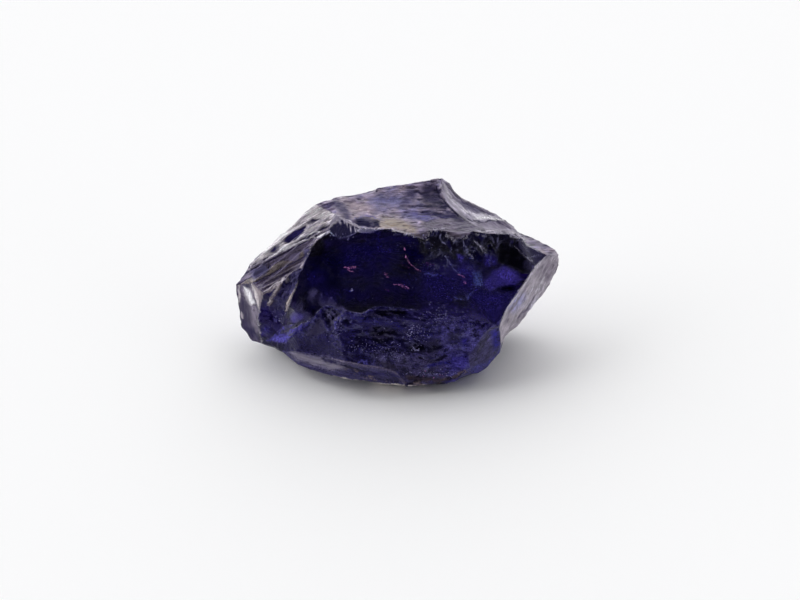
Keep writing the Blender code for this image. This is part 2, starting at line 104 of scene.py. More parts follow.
BLADE_EDGE = [(-12.8, 0.6), (-13.1, -0.8), (-13.3, -1.9), (-13.0, -3.5), (-12.9, -4.2)]
HEEL_RIDGE = [(9.3, -2.4), (8.5, -2.5), (7.7, -3.4), (6.9, -4.6), (6.4, -5.2), (6.5, -6.2)]
HEEL_FOOT = [(6.5, -6.2), (7.9, -5.9), (9.1, -5.0), (9.4, -3.9)]
BEVEL_TOP = [(-11.0, -4.8), (-9.8, -4.8), (-8.6, -5.1), (-6.5, -5.4), (-5.1, -5.7), (-3.7, -6.0),
             (-1.9, -6.2), (-0.5, -6.6), (0.5, -7.7)]
TOE_TOP = SHOULDER_FOOT[4:]

# Outlines of the fracture faces that the camera sees
FACES = {
    "top": outline(CREST, SCOOP_FOOT, [(12.3, 6.1), (13.7, 5.4), (14.6, 4.7)], TIP_TOP[::-1], BROW[::-1],
                   [(-6.0, 8.0)]),
    "scoop": outline(SCOOP_BACK, SCOOP_FOOT[::-1]),
    "shoulder": outline(SHOULDER_BACK, CHIP_SIDE, SHOULDER_FOOT, BLADE_TOP),
    "chip": outline(CHIP_SIDE, CHIP_FOOT, CHIP_TOP[::-1]),
    "window": outline(CHIP_FOOT, BROW, [(10.6, 5.1), (11.6, 4.1)], RIGHT_EDGE, LEDGE[::-1], TOE_RIDGE[::-1],
                      SHOULDER_FOOT[4::-1]),
    "tip_facet": outline(TIP_TOP, [(12.6, 3.2), (11.6, 4.1), (10.6, 5.1)]),
    "right_bevel": outline([(13.7, 4.2), (14.6, 4.7), (15.1, 4.1), (15.1, 3.5), (14.7, 2.3), (14.2, 1.3),
                            (13.7, 0.4), (12.9, -0.4), (11.8, -1.9), (10.5, -3.2), (9.9, -3.9),
                            (9.5, -5.1), (9.4, -3.9)], RIGHT_EDGE[::-1]),
    "heel": outline(HEEL_RIDGE, HEEL_FOOT),
    "heel_under": outline(HEEL_FOOT, [(9.7, -4.7), (8.6, -6.2), (7.4, -7.1), (6.0, -7.2), (5.4, -7.9),
                                      (5.3, -7.4)]),
    "apron": outline(LEDGE, HEEL_RIDGE, [(5.3, -7.4), (5.3, -8.2), (0.5, -8.3)], BEVEL_TOP[::-1]),
    "bevel": outline(BEVEL_TOP, [(0.5, -8.3), (-3.0, -7.9), (-5.2, -7.8), (-8.2, -7.0), (-9.9, -6.3),
                                 (-11.2, -5.0)]),
    "toe_face": outline(TOE_RIDGE, [(-11.0, -4.8), (-11.8, -4.7)], BLADE_EDGE[::-1], TOE_TOP[::-1]),
    "blade": outline(BLADE_TOP, [(-15.6, -0.5), (-15.1, -2.8), (-14.0, -4.2)], BLADE_EDGE[::-1]),
}


# The colours of the frosted skin, where the break scatters light before it enters the stone, and of painted
# highlights and painted glow
# Pale frost along ridges: partly the crushed edges' own colour, partly a painted highlight where they catch
# the light
PALE_FROST_AND_EDGE_HIGHLIGHT = "#c3bbca"
# White for painted highlights
PAINTED_HIGHLIGHT = "#f4f2f7"
ASH = "#685f70"
TAUPE = "#a2969c"
SLATE = "#2c284a"
INDIGO = "#17123e"
BLUE = "#5550a4"
CLEAR = "#efecff"
# Violet for painted glow on clear faces
PAINTED_GLOW = "#7866ff"
HACKLE = "#8583ae"


def spot(points, cover, colour, dull=0.3, soft=0.15, rise=0.0):
    """A mark that fills an outline: how much skin covers the clear stone, its colour and dullness."""
    return dict(points=points, closed=True, cover=cover, colour=colour, dull=dull, soft=soft, rise=rise)


def stroke(points, cover, colour, dull=0.3, width=0.14, rise=0.0):
    """A mark along a line, of that half width in millimetres."""
    return dict(points=points, closed=False, cover=cover, colour=colour, dull=dull, soft=width, rise=rise)


def painted_glow(points, cover, soft=0.4):
    """A painted glow: faint violet skin on a clear face, in place of light sent back from inside the stone.
    """
    return spot(points, cover, PAINTED_GLOW, 0.04, soft)


# Two places on the apron where the break is smooth
CALM_VEIL = [(-11.0, -4.4), (-10.4, -3.7), (-8.5, -3.4), (-7.3, -3.7), (-5.8, -4.6), (-3.7, -5.2),
             (-2.2, -5.8), (-4.9, -5.5), (-7.2, -5.1), (-9.6, -4.8)]
CALM_FOLD = [(-9.0, -3.3), (-7.4, -1.6), (-7.0, -2.3), (-6.9, -3.0), (-7.8, -3.4)]

# Marks on each face, laid in this order over the face's own texture
TOP_MARKS = [
    spot([(2.4, 7.5), (4.4, 7.9), (6.4, 7.4), (6.6, 6.4), (5.5, 5.8), (3.6, 6.4), (2.0, 6.0)], 0.85,
        "#645b6c", soft=0.35),
    spot([(-2.6, 7.6), (-0.9, 7.8), (0.4, 7.4), (1.6, 6.8), (1.6, 6.2), (-0.5, 6.6), (-1.8, 6.7)], 0.75,
        "#968879", soft=0.4),
    spot([(-5.0, 9.2), (-3.2, 9.3), (-2.6, 8.2), (-4.2, 7.9), (-4.8, 8.4)], 0.7, "#97858e", soft=0.5),
    spot([(-2.9, 9.5), (-1.0, 9.9), (1.0, 9.7), (1.1, 8.9), (-0.5, 8.8), (-2.4, 8.9)], 0.55, "#7875a4",
        soft=0.4),
    spot([(5.3, 6.4), (6.7, 6.9), (8.4, 6.7), (10.2, 6.6), (12.4, 5.9), (12.0, 5.4), (10.2, 6.2),
        (8.3, 6.3), (6.8, 6.4), (6.2, 5.9)], 0.85, "#6a6175", soft=0.25),
    spot([(11.4, 6.1), (12.4, 6.0), (13.8, 5.2), (13.2, 4.9), (12.0, 5.5)], 0.8, "#756b80", soft=0.2),
    spot([(-6.6, 9.1), (-6.0, 9.4), (-5.2, 9.1), (-4.7, 8.0), (-4.4, 7.3), (-5.0, 7.5), (-5.8, 8.4)], 0.88,
        "#3f3956", dull=0.6, soft=0.25),
    spot([(0.3, 10.1), (1.0, 10.4), (1.6, 10.2), (1.4, 9.3), (0.6, 9.1), (0.1, 9.5)], 0.85, "#463f5e",
        dull=0.6, soft=0.4),
    spot([(1.9, 9.8), (2.2, 10.7), (3.3, 10.9), (3.6, 10.4), (4.1, 9.4), (3.2, 9.0), (2.2, 9.1)], 0.85,
        "#332d48", dull=0.6, soft=0.3, rise=-0.06),
    spot([(5.1, 8.2), (6.8, 7.4), (7.6, 6.9), (7.5, 6.3), (5.8, 6.2), (4.9, 7.3)], 0.85, "#4e465a",
        soft=0.3),
    spot([(1.2, 8.8), (2.5, 8.95), (4.4, 8.8), (4.4, 8.5), (2.7, 8.6)], 0.88, "#151130", 0.6, 0.1),
    spot([(2.7, 9.2), (3.7, 9.3), (4.6, 8.9), (3.9, 8.9)], 0.88, "#151130", 0.6, 0.1),
    spot([(0.2, 7.9), (1.4, 8.25), (2.7, 7.95), (3.6, 7.7), (2.6, 7.45), (0.8, 7.7)], 0.8, "#56518c",
        dull=0.3, soft=0.25),
    spot([(1.9, 8.35), (2.8, 8.35), (3.9, 8.15), (5.1, 7.7), (4.3, 7.55), (3.2, 7.9), (2.1, 8.05)], 0.85,
        "#1f1a48", dull=0.6, soft=0.1),
    spot([(4.0, 8.4), (5.0, 8.2), (6.0, 7.4), (5.2, 7.5), (4.4, 7.9)], 0.88, "#2a2446", 0.6, 0.15),
    spot([(-4.5, 7.4), (-4.0, 7.75), (-3.0, 7.75), (-1.9, 7.4), (-1.9, 6.85), (-2.9, 6.75), (-3.9, 7.0)],
        0.92, "#120e34", dull=0.7, soft=0.12, rise=-0.04),
    stroke([(-4.3, 7.65), (-3.0, 7.9), (-1.8, 7.5)], 0.5, "#5a5090", width=0.08),
    stroke([(6.8, 7.0), (7.8, 7.2), (9.0, 7.1), (10.0, 6.8), (11.0, 6.3)], 0.85, "#4a4458", width=0.16),
    stroke([(6.8, 6.2), (8.2, 6.5), (9.5, 6.6), (10.3, 6.4), (11.0, 6.1), (12.0, 5.5)], 0.85, "#aca4b2",
        width=0.14, rise=0.03),
    stroke([(9.0, 7.8), (9.7, 7.5), (10.3, 7.1), (11.2, 6.3), (12.3, 5.9), (13.7, 5.2)], 0.85, "#3a3450",
        width=0.1, rise=-0.04),
    stroke([(3.4, 10.6), (3.7, 9.7), (4.3, 9.1), (5.2, 8.2), (6.2, 7.5), (6.9, 7.3)], 0.9, "#151130", 0.6,
        0.15, -0.08),
    stroke([(3.5, 11.3), (3.9, 10.4), (4.3, 9.5), (4.9, 8.8), (5.7, 8.1), (6.6, 7.5), (7.6, 7.6),
        (8.9, 7.9)], 0.9, PALE_FROST_AND_EDGE_HIGHLIGHT, width=0.17, rise=0.08),
    stroke(CHIP_TOP, 0.9, PALE_FROST_AND_EDGE_HIGHLIGHT, width=0.14, rise=0.04),
    stroke([(-3.6, 6.7), (-0.9, 6.6), (0.2, 6.3), (1.5, 5.9), (2.4, 5.6)], 0.8, PALE_FROST_AND_EDGE_HIGHLIGHT, width=0.08),
]
SCOOP_MARKS = [
    spot([(5.6, 9.3), (6.3, 9.3), (7.1, 8.6), (7.9, 8.4), (7.5, 8.1), (6.6, 8.4), (5.9, 8.8)], 0.35,
        "#4a4560", soft=0.3),
    spot([(6.9, 7.3), (8.6, 7.4), (9.8, 7.5), (10.6, 7.0), (11.0, 6.5), (9.9, 6.6), (8.4, 6.7), (7.2, 6.8)],
        0.85, "#675e72", soft=0.2),
    # A painted highlight: a pale spot on the hollow's foot
    spot([(6.8, 7.9), (7.8, 8.1), (9.3, 7.95), (9.2, 7.6), (8.0, 7.5), (7.0, 7.5)], 0.93, "#cbc6d0",
        soft=0.18),
    stroke([(5.9, 8.0), (6.7, 7.4), (7.8, 7.3), (9.0, 7.45)], 0.9, "#2c2740", 0.5, 0.1, -0.05),
    stroke([(8.9, 7.9), (9.8, 7.4), (10.7, 6.7), (11.4, 6.2)], 0.9, "#b0a9b6", width=0.1, rise=0.03),
    stroke([(8.6, 7.6), (9.5, 7.1), (10.4, 6.6)], 0.9, "#3c3548", 0.5, 0.08, -0.03),
    stroke([(4.3, 10.9), (5.0, 9.9), (6.1, 9.0), (7.3, 8.5), (8.8, 7.9)], 0.9, "#58516a", 0.5, 0.09, -0.04),
    stroke([(4.5, 10.7), (5.3, 9.8), (6.3, 9.2), (7.6, 8.7), (9.2, 8.0)], 0.9, "#a29aa6", 0.4, 0.08, 0.04),
    # A painted highlight: a white line along the hollow's foot
    stroke([(6.4, 8.2), (7.2, 7.75), (8.4, 7.6), (9.8, 7.45)], 0.96, PAINTED_HIGHLIGHT, 0.2, 0.1, 0.03),
    stroke([(3.9, 11.1), (4.4, 10.1), (4.9, 9.3), (5.8, 8.5), (6.8, 7.9), (7.8, 7.8)], 0.9, "#cfc9d6",
        width=0.2, rise=0.03),
]
SHOULDER_MARKS = [
    spot([(-11.1, 5.3), (-10.6, 6.0), (-9.5, 6.7), (-8.7, 7.0), (-8.9, 6.4), (-9.6, 5.7), (-10.4, 5.3)],
        0.85, "#2a2456", dull=0.15, soft=0.12, rise=-0.06),
    spot([(-10.4, 6.0), (-9.8, 6.5), (-9.4, 6.4), (-10.0, 5.8)], 0.5, "#4a4490", dull=0.15, soft=0.2),
    spot([(-12.3, 4.5), (-11.8, 5.0), (-11.3, 5.1), (-11.3, 4.8), (-11.9, 4.4)], 0.5, "#332c66", soft=0.12),
    spot([(-8.8, 7.2), (-8.2, 7.7), (-7.2, 7.5), (-7.9, 7.3), (-8.4, 7.0)], 0.85, "#3e3858", soft=0.1),
    spot([(-14.0, 2.7), (-12.5, 3.3), (-12.3, 2.8), (-12.6, 2.4), (-13.7, 1.9)], 0.7, "#66628a", soft=0.2),
    spot([(-12.1, 3.1), (-11.1, 3.6), (-10.7, 3.6), (-11.4, 3.2), (-11.8, 2.7)], 0.85, "#8f8482",
        soft=0.16),
    spot([(-10.6, 3.7), (-10.2, 4.3), (-9.4, 4.5), (-9.4, 3.9), (-10.0, 3.6)], 0.75, "#726888", soft=0.16),
    spot([(-9.0, 4.7), (-8.3, 4.9), (-8.4, 4.3), (-9.0, 3.9)], 0.7, "#5c578c", soft=0.15),
    stroke([(-5.9, 8.0), (-6.4, 7.7), (-7.3, 7.4), (-8.2, 7.0), (-9.0, 6.5)], 0.9, PALE_FROST_AND_EDGE_HIGHLIGHT, width=0.12,
        rise=0.06),
    stroke([(-6.4, 7.6), (-7.1, 7.2), (-7.9, 6.7)], 0.9, "#b5a9a8", width=0.1, rise=0.05),
    stroke([(-5.7, 7.9), (-6.1, 7.4), (-7.1, 7.0), (-8.0, 6.6), (-8.8, 6.2), (-9.5, 5.6)], 0.85, PALE_FROST_AND_EDGE_HIGHLIGHT,
        width=0.13, rise=0.05),
    stroke([(-6.6, 6.9), (-7.4, 6.6), (-8.2, 6.1), (-9.0, 5.6)], 0.25, SLATE, width=0.13, rise=-0.05),
    # Painted highlights: a thin white line along the steps and white spots where they catch the light
    stroke([(-12.6, 3.7), (-11.9, 4.2), (-11.1, 4.6), (-9.8, 5.2), (-9.4, 5.4), (-8.3, 5.8), (-7.7, 5.9)],
        0.95, "#e9e5ec", width=0.1, rise=0.05),
    stroke([(-9.7, 5.7), (-8.6, 6.1), (-7.4, 6.5)], 0.95, PAINTED_HIGHLIGHT, width=0.09, rise=0.04),
    spot([(-11.4, 4.5), (-11.1, 5.0), (-10.4, 5.3), (-10.2, 5.05), (-10.7, 4.6)], 0.97, PAINTED_HIGHLIGHT, soft=0.08,
        rise=0.04),
    spot([(-7.8, 5.8), (-7.7, 6.1), (-6.8, 6.4), (-7.0, 6.2), (-7.6, 5.8)], 0.9, PAINTED_HIGHLIGHT, soft=0.05),
    stroke([(-12.3, 3.8), (-12.2, 2.7)], 0.1, INDIGO, dull=0.1, width=0.08, rise=-0.08),
    stroke([(-13.9, 3.2), (-12.8, 3.7)], 0.9, PALE_FROST_AND_EDGE_HIGHLIGHT, width=0.08, rise=0.04),
    stroke([(-7.7, 5.7), (-8.3, 4.9), (-8.4, 4.4), (-8.9, 3.6), (-9.4, 2.9), (-10.0, 2.5), (-10.7, 2.2)],
        0.8, "#b3a9b4", width=0.08, rise=0.03),
    stroke([(-12.9, 0.5), (-12.0, 1.0), (-11.0, 1.7)], 0.9, TAUPE, width=0.2, rise=0.04),
    stroke([(-12.7, 0.8), (-12.0, 1.3), (-11.0, 1.9), (-10.7, 2.1)], 0.9, "#d2cad2", width=0.07, rise=0.03),
]
CHIP_MARKS = [
    stroke(CHIP_TOP, 0.9, PALE_FROST_AND_EDGE_HIGHLIGHT, width=0.12),
    spot([(-5.94, 7.9), (-5.5, 7.55), (-5.9, 7.2), (-6.5, 6.9), (-6.8, 7.0), (-6.6, 7.5)], 0.88, "#918a9c",
        soft=0.06),
    stroke([(-5.8, 7.45), (-6.4, 6.95), (-7.0, 6.7)], 0.9, "#c9c2ce", width=0.08, rise=0.03),
    stroke([(-6.5, 6.3), (-6.2, 6.0)], 0.9, "#a9b2d8", width=0.12),
    stroke([(-6.1, 5.9), (-5.5, 5.75), (-4.9, 5.95), (-4.3, 6.2)], 0.7, "#3c3a58", width=0.05),
]
WINDOW_MARKS = [
    painted_glow([(-6.2, 5.6), (-0.5, 5.6), (0.2, 3.6), (-2.5, 1.5), (-5.8, 2.2)], 0.035, 1.0),
    painted_glow([(-6.0, 1.5), (0.0, 1.8), (5.0, 0.4), (8.0, -2.0), (3.7, -1.6), (-1.0, -0.8), (-5.5, -0.9)], 0.025,
        1.0),
    # A faint painted glow in violet over the left of the face
    spot([(-9.4, 3.4), (-7.6, 5.3), (-6.2, 5.8), (-5.0, 3.6), (-5.3, 0.2), (-7.2, -0.4), (-9.2, 0.0)], 0.03,
        "#3a3480", 0.04, 1.0),
    spot([(9.4, 5.2), (10.75, 5.3), (12.1, 3.5), (12.3, 2.5), (11.2, 2.8), (10.0, 3.2), (9.2, 3.7)], 0.6,
        "#07060f", 0.1, 0.25),
    painted_glow([(2.4, -0.4), (6.0, -0.7), (9.2, -1.4), (9.3, -2.3), (3.7, -1.5), (1.8, -1.2)], 0.08, 0.5),
    painted_glow([(-7.2, 5.6), (-6.4, 5.9), (-5.4, 5.6), (-3.6, 6.5), (-0.8, 6.5), (0.3, 6.2), (1.6, 5.8),
        (1.8, 5.0), (-0.5, 5.4), (-3.6, 5.6), (-5.5, 4.9), (-7.0, 5.0)], 0.035, 0.3),
    painted_glow([(-6.9, 5.6), (-6.6, 5.6), (-6.6, 4.6), (-7.0, 4.6)], 0.05, 0.25),
    painted_glow([(-2.1, 6.4), (-1.7, 6.4), (-1.6, 4.8), (-2.2, 4.8)], 0.035, 0.2),
    stroke([(-1.9, 4.9), (-1.3, 4.6), (-0.6, 4.7), (0.0, 5.2)], 0.04, PAINTED_GLOW, 0.04, 0.14),
    painted_glow([(-8.6, 2.8), (-7.1, 2.6), (-7.0, 1.4), (-8.6, 1.4)], 0.03, 0.5),
    painted_glow([(-7.6, 1.2), (-5.6, 1.0), (-5.9, -0.4), (-7.4, -0.2)], 0.03, 0.5),
    painted_glow([(-1.8, 2.6), (1.6, 2.2), (2.0, 0.4), (-1.8, 0.5)], 0.03, 0.7),
    painted_glow([(1.8, 3.4), (4.6, 3.6), (5.6, 0.6), (4.6, -0.8), (1.8, -0.2)], 0.055, 0.8),
    painted_glow([(4.0, 3.0), (6.5, 3.7), (7.9, 2.8), (7.7, 0.9), (5.1, 0.7)], 0.07, 0.8),
    painted_glow([(6.2, 0.9), (10.8, 0.8), (10.0, -0.9), (9.3, -2.2), (6.5, -1.8)], 0.075, 0.7),
    painted_glow([(7.6, 1.5), (8.7, 2.7), (9.8, 3.2), (10.8, 2.6), (11.4, 1.9), (10.5, 1.3), (9.7, 1.4),
        (8.4, 0.9)], 0.22, 0.25),
    painted_glow([(9.0, 2.4), (9.8, 3.0), (10.8, 2.5), (10.2, 1.8)], 0.34, 0.3),
    spot([(9.0, 1.1), (10.6, 1.5), (10.9, 1.0), (10.3, 0.75), (9.3, 0.8)], 0.02, INDIGO, 0.04, 0.15),
    painted_glow([(8.1, 0.4), (8.6, 0.4), (8.5, -1.4), (8.1, -1.4)], 0.1, 0.25),
    painted_glow([(9.2, 0.4), (9.6, 0.3), (9.3, -1.2), (9.0, -1.2)], 0.1, 0.2),
    painted_glow([(7.9, 4.3), (9.0, 4.1), (9.1, 3.3), (8.2, 3.0), (7.8, 3.5)], 0.1, 0.2),
    painted_glow([(5.3, 4.3), (6.0, 4.1), (5.8, 3.6), (5.4, 3.7)], 0.2, 0.14),
    painted_glow([(5.8, 3.6), (6.9, 3.1), (6.7, 2.2), (5.7, 2.5)], 0.1, 0.3),
    spot([(6.8, 2.7), (7.6, 2.6), (7.7, 1.4), (7.0, 1.3)], 0.18, "#8a96ff", 0.04, 0.2),
    stroke([(2.2, 2.4), (2.6, 2.5), (3.1, 2.3), (3.6, 2.4)], 0.2, "#8a8cff", 0.05, 0.08),
    stroke([(4.2, 4.2), (4.7, 3.4), (5.1, 2.8), (5.6, 2.5)], 0.3, "#a8a4f0", 0.05, 0.06),
    stroke([(5.0, 0.3), (5.4, 0.1), (6.0, 0.0)], 0.2, "#8a8cff", 0.05, 0.08),
    stroke([(6.3, 0.0), (6.5, 0.5), (6.8, 0.8)], 0.2, "#8a8cff", 0.05, 0.1),
    stroke([(7.2, 5.4), (7.5, 4.9), (8.0, 4.4)], 0.7, "#a6a2c0", 0.2, 0.06),
    stroke([(6.2, 4.9), (6.25, 4.5), (6.5, 4.2), (6.9, 3.9)], 0.7, "#8f8fc0", 0.2, 0.06),
    stroke([(3.8, 6.2), (3.75, 5.8), (4.0, 5.4), (4.3, 5.2)], 0.7, "#8583ae", 0.2, 0.05),
    stroke([(4.9, 5.2), (5.1, 5.5), (5.6, 5.5)], 0.6, "#6f6d9c", 0.2, 0.06),
    stroke([(4.8, 4.9), (4.75, 4.4), (5.0, 4.1)], 0.6, "#6a6896", 0.2, 0.05),
    stroke([(5.9, 5.6), (6.0, 5.1), (6.3, 4.7)], 0.6, "#7c7aa6", 0.2, 0.05),
    stroke([(6.9, 5.6), (7.2, 5.2), (7.9, 4.8), (8.2, 4.5)], 0.75, "#aaa6c4", 0.2, 0.06),
    stroke([(8.7, 5.9), (8.75, 5.4), (8.6, 5.0)], 0.6, "#77749a", 0.2, 0.05),
    stroke([(2.1, 5.4), (2.4, 5.25), (2.7, 5.4)], 0.7, "#8583ae", 0.2, 0.05),
    stroke([(9.1, 5.8), (9.2, 5.2), (8.9, 4.6)], 0.5, "#5f5c80", 0.2, 0.12),
    painted_glow([(-10.4, -1.9), (-10.1, -1.3), (-9.35, -1.2), (-9.1, -1.5), (-9.35, -1.9), (-10.0, -2.1)], 0.2,
        0.25),
]
TIP_FACET_MARKS = [
    spot([(11.5, 5.5), (12.0, 5.0), (13.1, 4.3), (13.6, 4.3), (12.0, 5.3)], 0.6, "#4c4a66", soft=0.12),
    stroke([(10.7, 5.1), (11.2, 4.5), (12.0, 3.8), (12.4, 3.5)], 0.6, "#8f8ba4", width=0.07, rise=0.03),
    stroke([(12.0, 4.0), (12.6, 4.1), (13.2, 4.2)], 0.5, "#6a6888", width=0.07),
    stroke([(11.5, 5.2), (12.1, 4.4)], 0.4, "#55526e", width=0.09),
]
RIGHT_BEVEL_MARKS = [
    spot([(10.6, 0.2), (11.7, 0.7), (11.5, -0.4), (10.6, -1.2), (10.1, -0.9)], 0.8, "#a9a6d6", soft=0.35),
    spot([(13.2, 4.5), (14.2, 4.9), (14.3, 4.3), (13.6, 3.7)], 0.75, "#5b5468", soft=0.2),
    spot([(12.9, 3.3), (13.9, 3.9), (14.6, 3.2), (14.1, 2.0), (13.1, 1.8), (12.5, 2.4)], 0.85, "#8b8191",
        soft=0.4),
    spot([(12.0, -0.4), (12.9, 0.3), (12.7, -0.7), (11.9, -1.5)], 0.85, "#cfcbdc", soft=0.3),
    stroke([(13.5, 2.1), (13.1, 1.5), (12.7, 0.7)], 0.9, "#d4cfdb", width=0.12, rise=0.05),
    stroke([(12.5, 1.4), (12.1, 0.6), (11.3, -0.7)], 0.9, "#c2bccb", width=0.1, rise=0.05),
    stroke([(12.6, 0.4), (12.0, -0.7), (11.0, -1.7)], 0.6, "#6d6478", width=0.1, rise=-0.05),
    stroke([(13.7, 4.1), (12.6, 2.9), (11.5, 1.3), (10.5, -0.1), (9.7, -1.4), (9.4, -2.2)], 0.85, PALE_FROST_AND_EDGE_HIGHLIGHT,
        width=0.1),
    stroke([(12.2, 2.0), (11.2, 0.3), (10.2, -1.2), (9.8, -2.4)], 0.7, "#857c90", width=0.16, rise=-0.04),
]
HEEL_MARKS = [
    spot([(8.5, -3.0), (9.2, -2.7), (9.3, -4.4), (8.8, -4.7)], 0.6, "#342f9c", dull=0.12, soft=0.3),
    stroke([(6.9, -4.6), (7.5, -3.6), (8.1, -2.9), (9.2, -2.5)], 0.6, "#5c5878", width=0.09),
    stroke([(7.2, -4.9), (7.8, -3.9), (8.3, -3.3)], 0.5, "#3c3858", width=0.3),
]
APRON_MARKS = [
    spot(CALM_VEIL, 0.6, "#211c46", dull=0.25, soft=0.4),
    spot(CALM_FOLD, 0.6, "#322e4c", soft=0.2),
    spot([(-7.2, -1.0), (-6.3, -0.6), (-5.4, -1.1), (-5.7, -2.0), (-6.6, -2.2), (-7.1, -1.7)], 0.04, INDIGO,
        dull=0.05, soft=0.15, rise=-0.1),
    spot([(-2.9, -2.6), (-1.9, -2.4), (-0.9, -2.6), (0.0, -3.2), (-1.1, -4.0), (-2.0, -4.1), (-2.7, -3.6)],
        0.04, INDIGO, dull=0.05, soft=0.2, rise=-0.12),
    spot([(0.7, -4.2), (1.5, -4.0), (2.6, -4.1), (2.1, -4.9), (0.8, -4.9)], 0.06, INDIGO, dull=0.05,
        soft=0.18, rise=-0.1),
    spot([(-2.6, -1.1), (-1.6, -0.9), (0.5, -0.95), (0.8, -1.4), (-1.9, -1.6), (-3.0, -1.5)], 0.05, INDIGO,
        dull=0.05, soft=0.15, rise=-0.06),
    spot([(2.4, -3.9), (3.6, -3.6), (4.0, -4.6), (2.9, -4.9)], 0.1, INDIGO, dull=0.08, soft=0.3),
    stroke([(-5.6, -1.3), (-4.5, -1.7), (-3.2, -1.9), (-1.9, -2.1), (-0.5, -2.2), (0.4, -2.7)], 0.6,
        "#2b2670", dull=0.15, width=0.3, rise=0.05),
    stroke([(-8.5, -1.5), (-7.2, -0.6), (-6.3, -0.7), (-5.3, -1.2), (-3.7, -1.4), (-3.1, -1.1),
        (-2.4, -0.7)], 0.5, "#2b2570", dull=0.15, width=0.12),
    stroke([(-2.6, -0.9), (-1.7, -0.5), (-0.4, -0.6), (0.5, -0.75), (1.4, -0.8)], 0.5, "#2d2778", dull=0.15,
        width=0.13),
    stroke([(-5.7, -1.5), (-5.95, -2.1), (-6.1, -2.7)], 0.75, BLUE, dull=0.1, width=0.12, rise=0.06),
    spot([(5.6, -3.4), (6.3, -3.6), (6.2, -4.5), (5.8, -4.6)], 0.6, "#322a98", dull=0.1, soft=0.3),
    spot([(4.9, -5.1), (6.1, -5.1), (6.6, -5.9), (6.1, -6.5), (4.8, -6.4), (4.6, -5.8)], 0.8, "#433b98",
        dull=0.15, soft=0.4),
    spot([(5.0, -5.8), (6.1, -5.6), (6.3, -6.1), (5.6, -6.4)], 0.8, "#5148ac", dull=0.12, soft=0.25),
    spot([(4.5, -3.0), (5.8, -2.9), (5.6, -3.9), (4.6, -3.9)], 0.55, "#2e2a52", dull=0.2, soft=0.3),
    stroke([(2.2, -6.3), (3.8, -5.9), (4.6, -5.9)], 0.6, "#332d90", dull=0.12, width=0.18),
    stroke([(1.5, -5.0), (3.0, -5.5), (4.6, -4.6)], 0.55, "#2e2a6c", dull=0.2, width=0.14, rise=0.05),
    stroke([(1.6, -5.3), (3.0, -5.8), (4.4, -5.2)], 0.1, INDIGO, dull=0.1, width=0.16, rise=-0.05),
    stroke([(-3.7, -6.4), (-2.4, -6.1), (-1.1, -6.3), (-0.4, -6.6), (0.4, -7.1)], 0.6, "#37327c", dull=0.15,
        width=0.12, rise=0.05),
    stroke([(-9.3, -4.9), (-6.5, -5.3), (-5.6, -5.7), (-3.7, -6.0)], 0.6, "#544d78", width=0.1, rise=0.04),
    stroke([(-3.9, -5.9), (-3.5, -5.6), (-3.3, -5.8), (-3.4, -6.3)], 0.8, BLUE, dull=0.1, width=0.1,
        rise=0.06),
    stroke([(-3.1, -5.6), (-3.1, -6.1), (-2.7, -6.2), (-2.4, -5.7)], 0.8, BLUE, dull=0.1, width=0.1,
        rise=0.06),
    spot([(-2.5, -5.9), (-1.3, -5.7), (-0.5, -6.1), (-0.1, -6.7), (-1.3, -6.4)], 0.6, "#46405e", soft=0.2),
    # Painted light: a pale rim along the bottom edge, bright although this side faces down into shade
    stroke([(0.5, -8.1), (2.4, -8.05), (4.6, -8.0)], 0.95, "#f0e6e0", 0.4, 0.12),
    stroke([(0.5, -7.2), (2.1, -7.4), (3.7, -7.5), (5.5, -7.0), (6.4, -6.5)], 0.55, "#4e424e", width=0.3),
]
BEVEL_MARKS = [
    spot([(-10.2, -4.9), (-8.5, -5.2), (-6.7, -5.7), (-5.0, -6.2), (-6.2, -6.5), (-8.0, -6.0),
        (-9.6, -5.5)], 0.85, "#9a93a4", soft=0.4),
    stroke([(-7.3, -5.5), (-5.6, -6.0), (-3.9, -6.6), (-2.0, -6.9)], 0.4, "#1f1b44", width=0.2, rise=-0.04),
    stroke([(-5.0, -6.9), (-3.0, -7.0), (-1.2, -6.9), (0.2, -7.3)], 0.6, "#38336c", width=0.2, rise=0.04),
    # Painted light: a pale rim along the bottom edge, bright although this side faces down into shade
    stroke([(-8.4, -6.8), (-5.2, -7.4), (-2.8, -7.8), (0.4, -7.95)], 0.95, "#f0e6e0", 0.4, 0.12),
    stroke([(-10.4, -4.7), (-8.5, -5.0), (-7.2, -5.2), (-5.4, -5.7), (-3.7, -6.0)], 0.7, "#8a8094",
        width=0.07),
]
TOE_FACE_MARKS = [
    spot([(-11.0, 1.7), (-11.3, 0.9), (-11.7, 0.2), (-12.15, -0.55), (-12.4, -0.45), (-12.05, 0.2),
        (-11.6, 1.2)], 0.85, "#82777f", soft=0.08, rise=0.1),
    stroke([(-11.3, 1.4), (-11.9, 0.5), (-12.35, -0.3)], 0.9, "#c9bfc2", width=0.08, rise=0.03),
    # A painted glint: the pale narrow sliver along the ridge, where a thin facet catches the light
    spot([(-9.5, 1.6), (-9.75, 0.4), (-10.1, -0.6), (-10.4, -1.05), (-10.6, -1.0), (-10.45, -0.1),
        (-10.0, 0.8)], 0.92, "#c0b3b0", soft=0.08, rise=0.12),
    stroke([(-10.5, -0.2), (-10.6, -0.9), (-10.8, -1.1)], 0.8, "#8b7f86", width=0.1),
    spot([(-10.75, 2.15), (-10.4, 2.25), (-10.35, 1.8), (-10.7, 1.6)], 0.7, "#77707c", soft=0.08),
    spot([(-12.9, -2.5), (-12.3, -2.4), (-12.1, -3.0), (-12.7, -3.3)], 0.5, "#332a8c", dull=0.12, soft=0.3),
    spot([(-11.6, 0.2), (-10.9, 0.3), (-11.0, -0.5), (-11.6, -0.5)], 0.3, "#2c2578", dull=0.1, soft=0.3),
    stroke([(-12.9, 0.5), (-12.0, 1.0), (-11.0, 1.7)], 0.9, TAUPE, width=0.14),
]
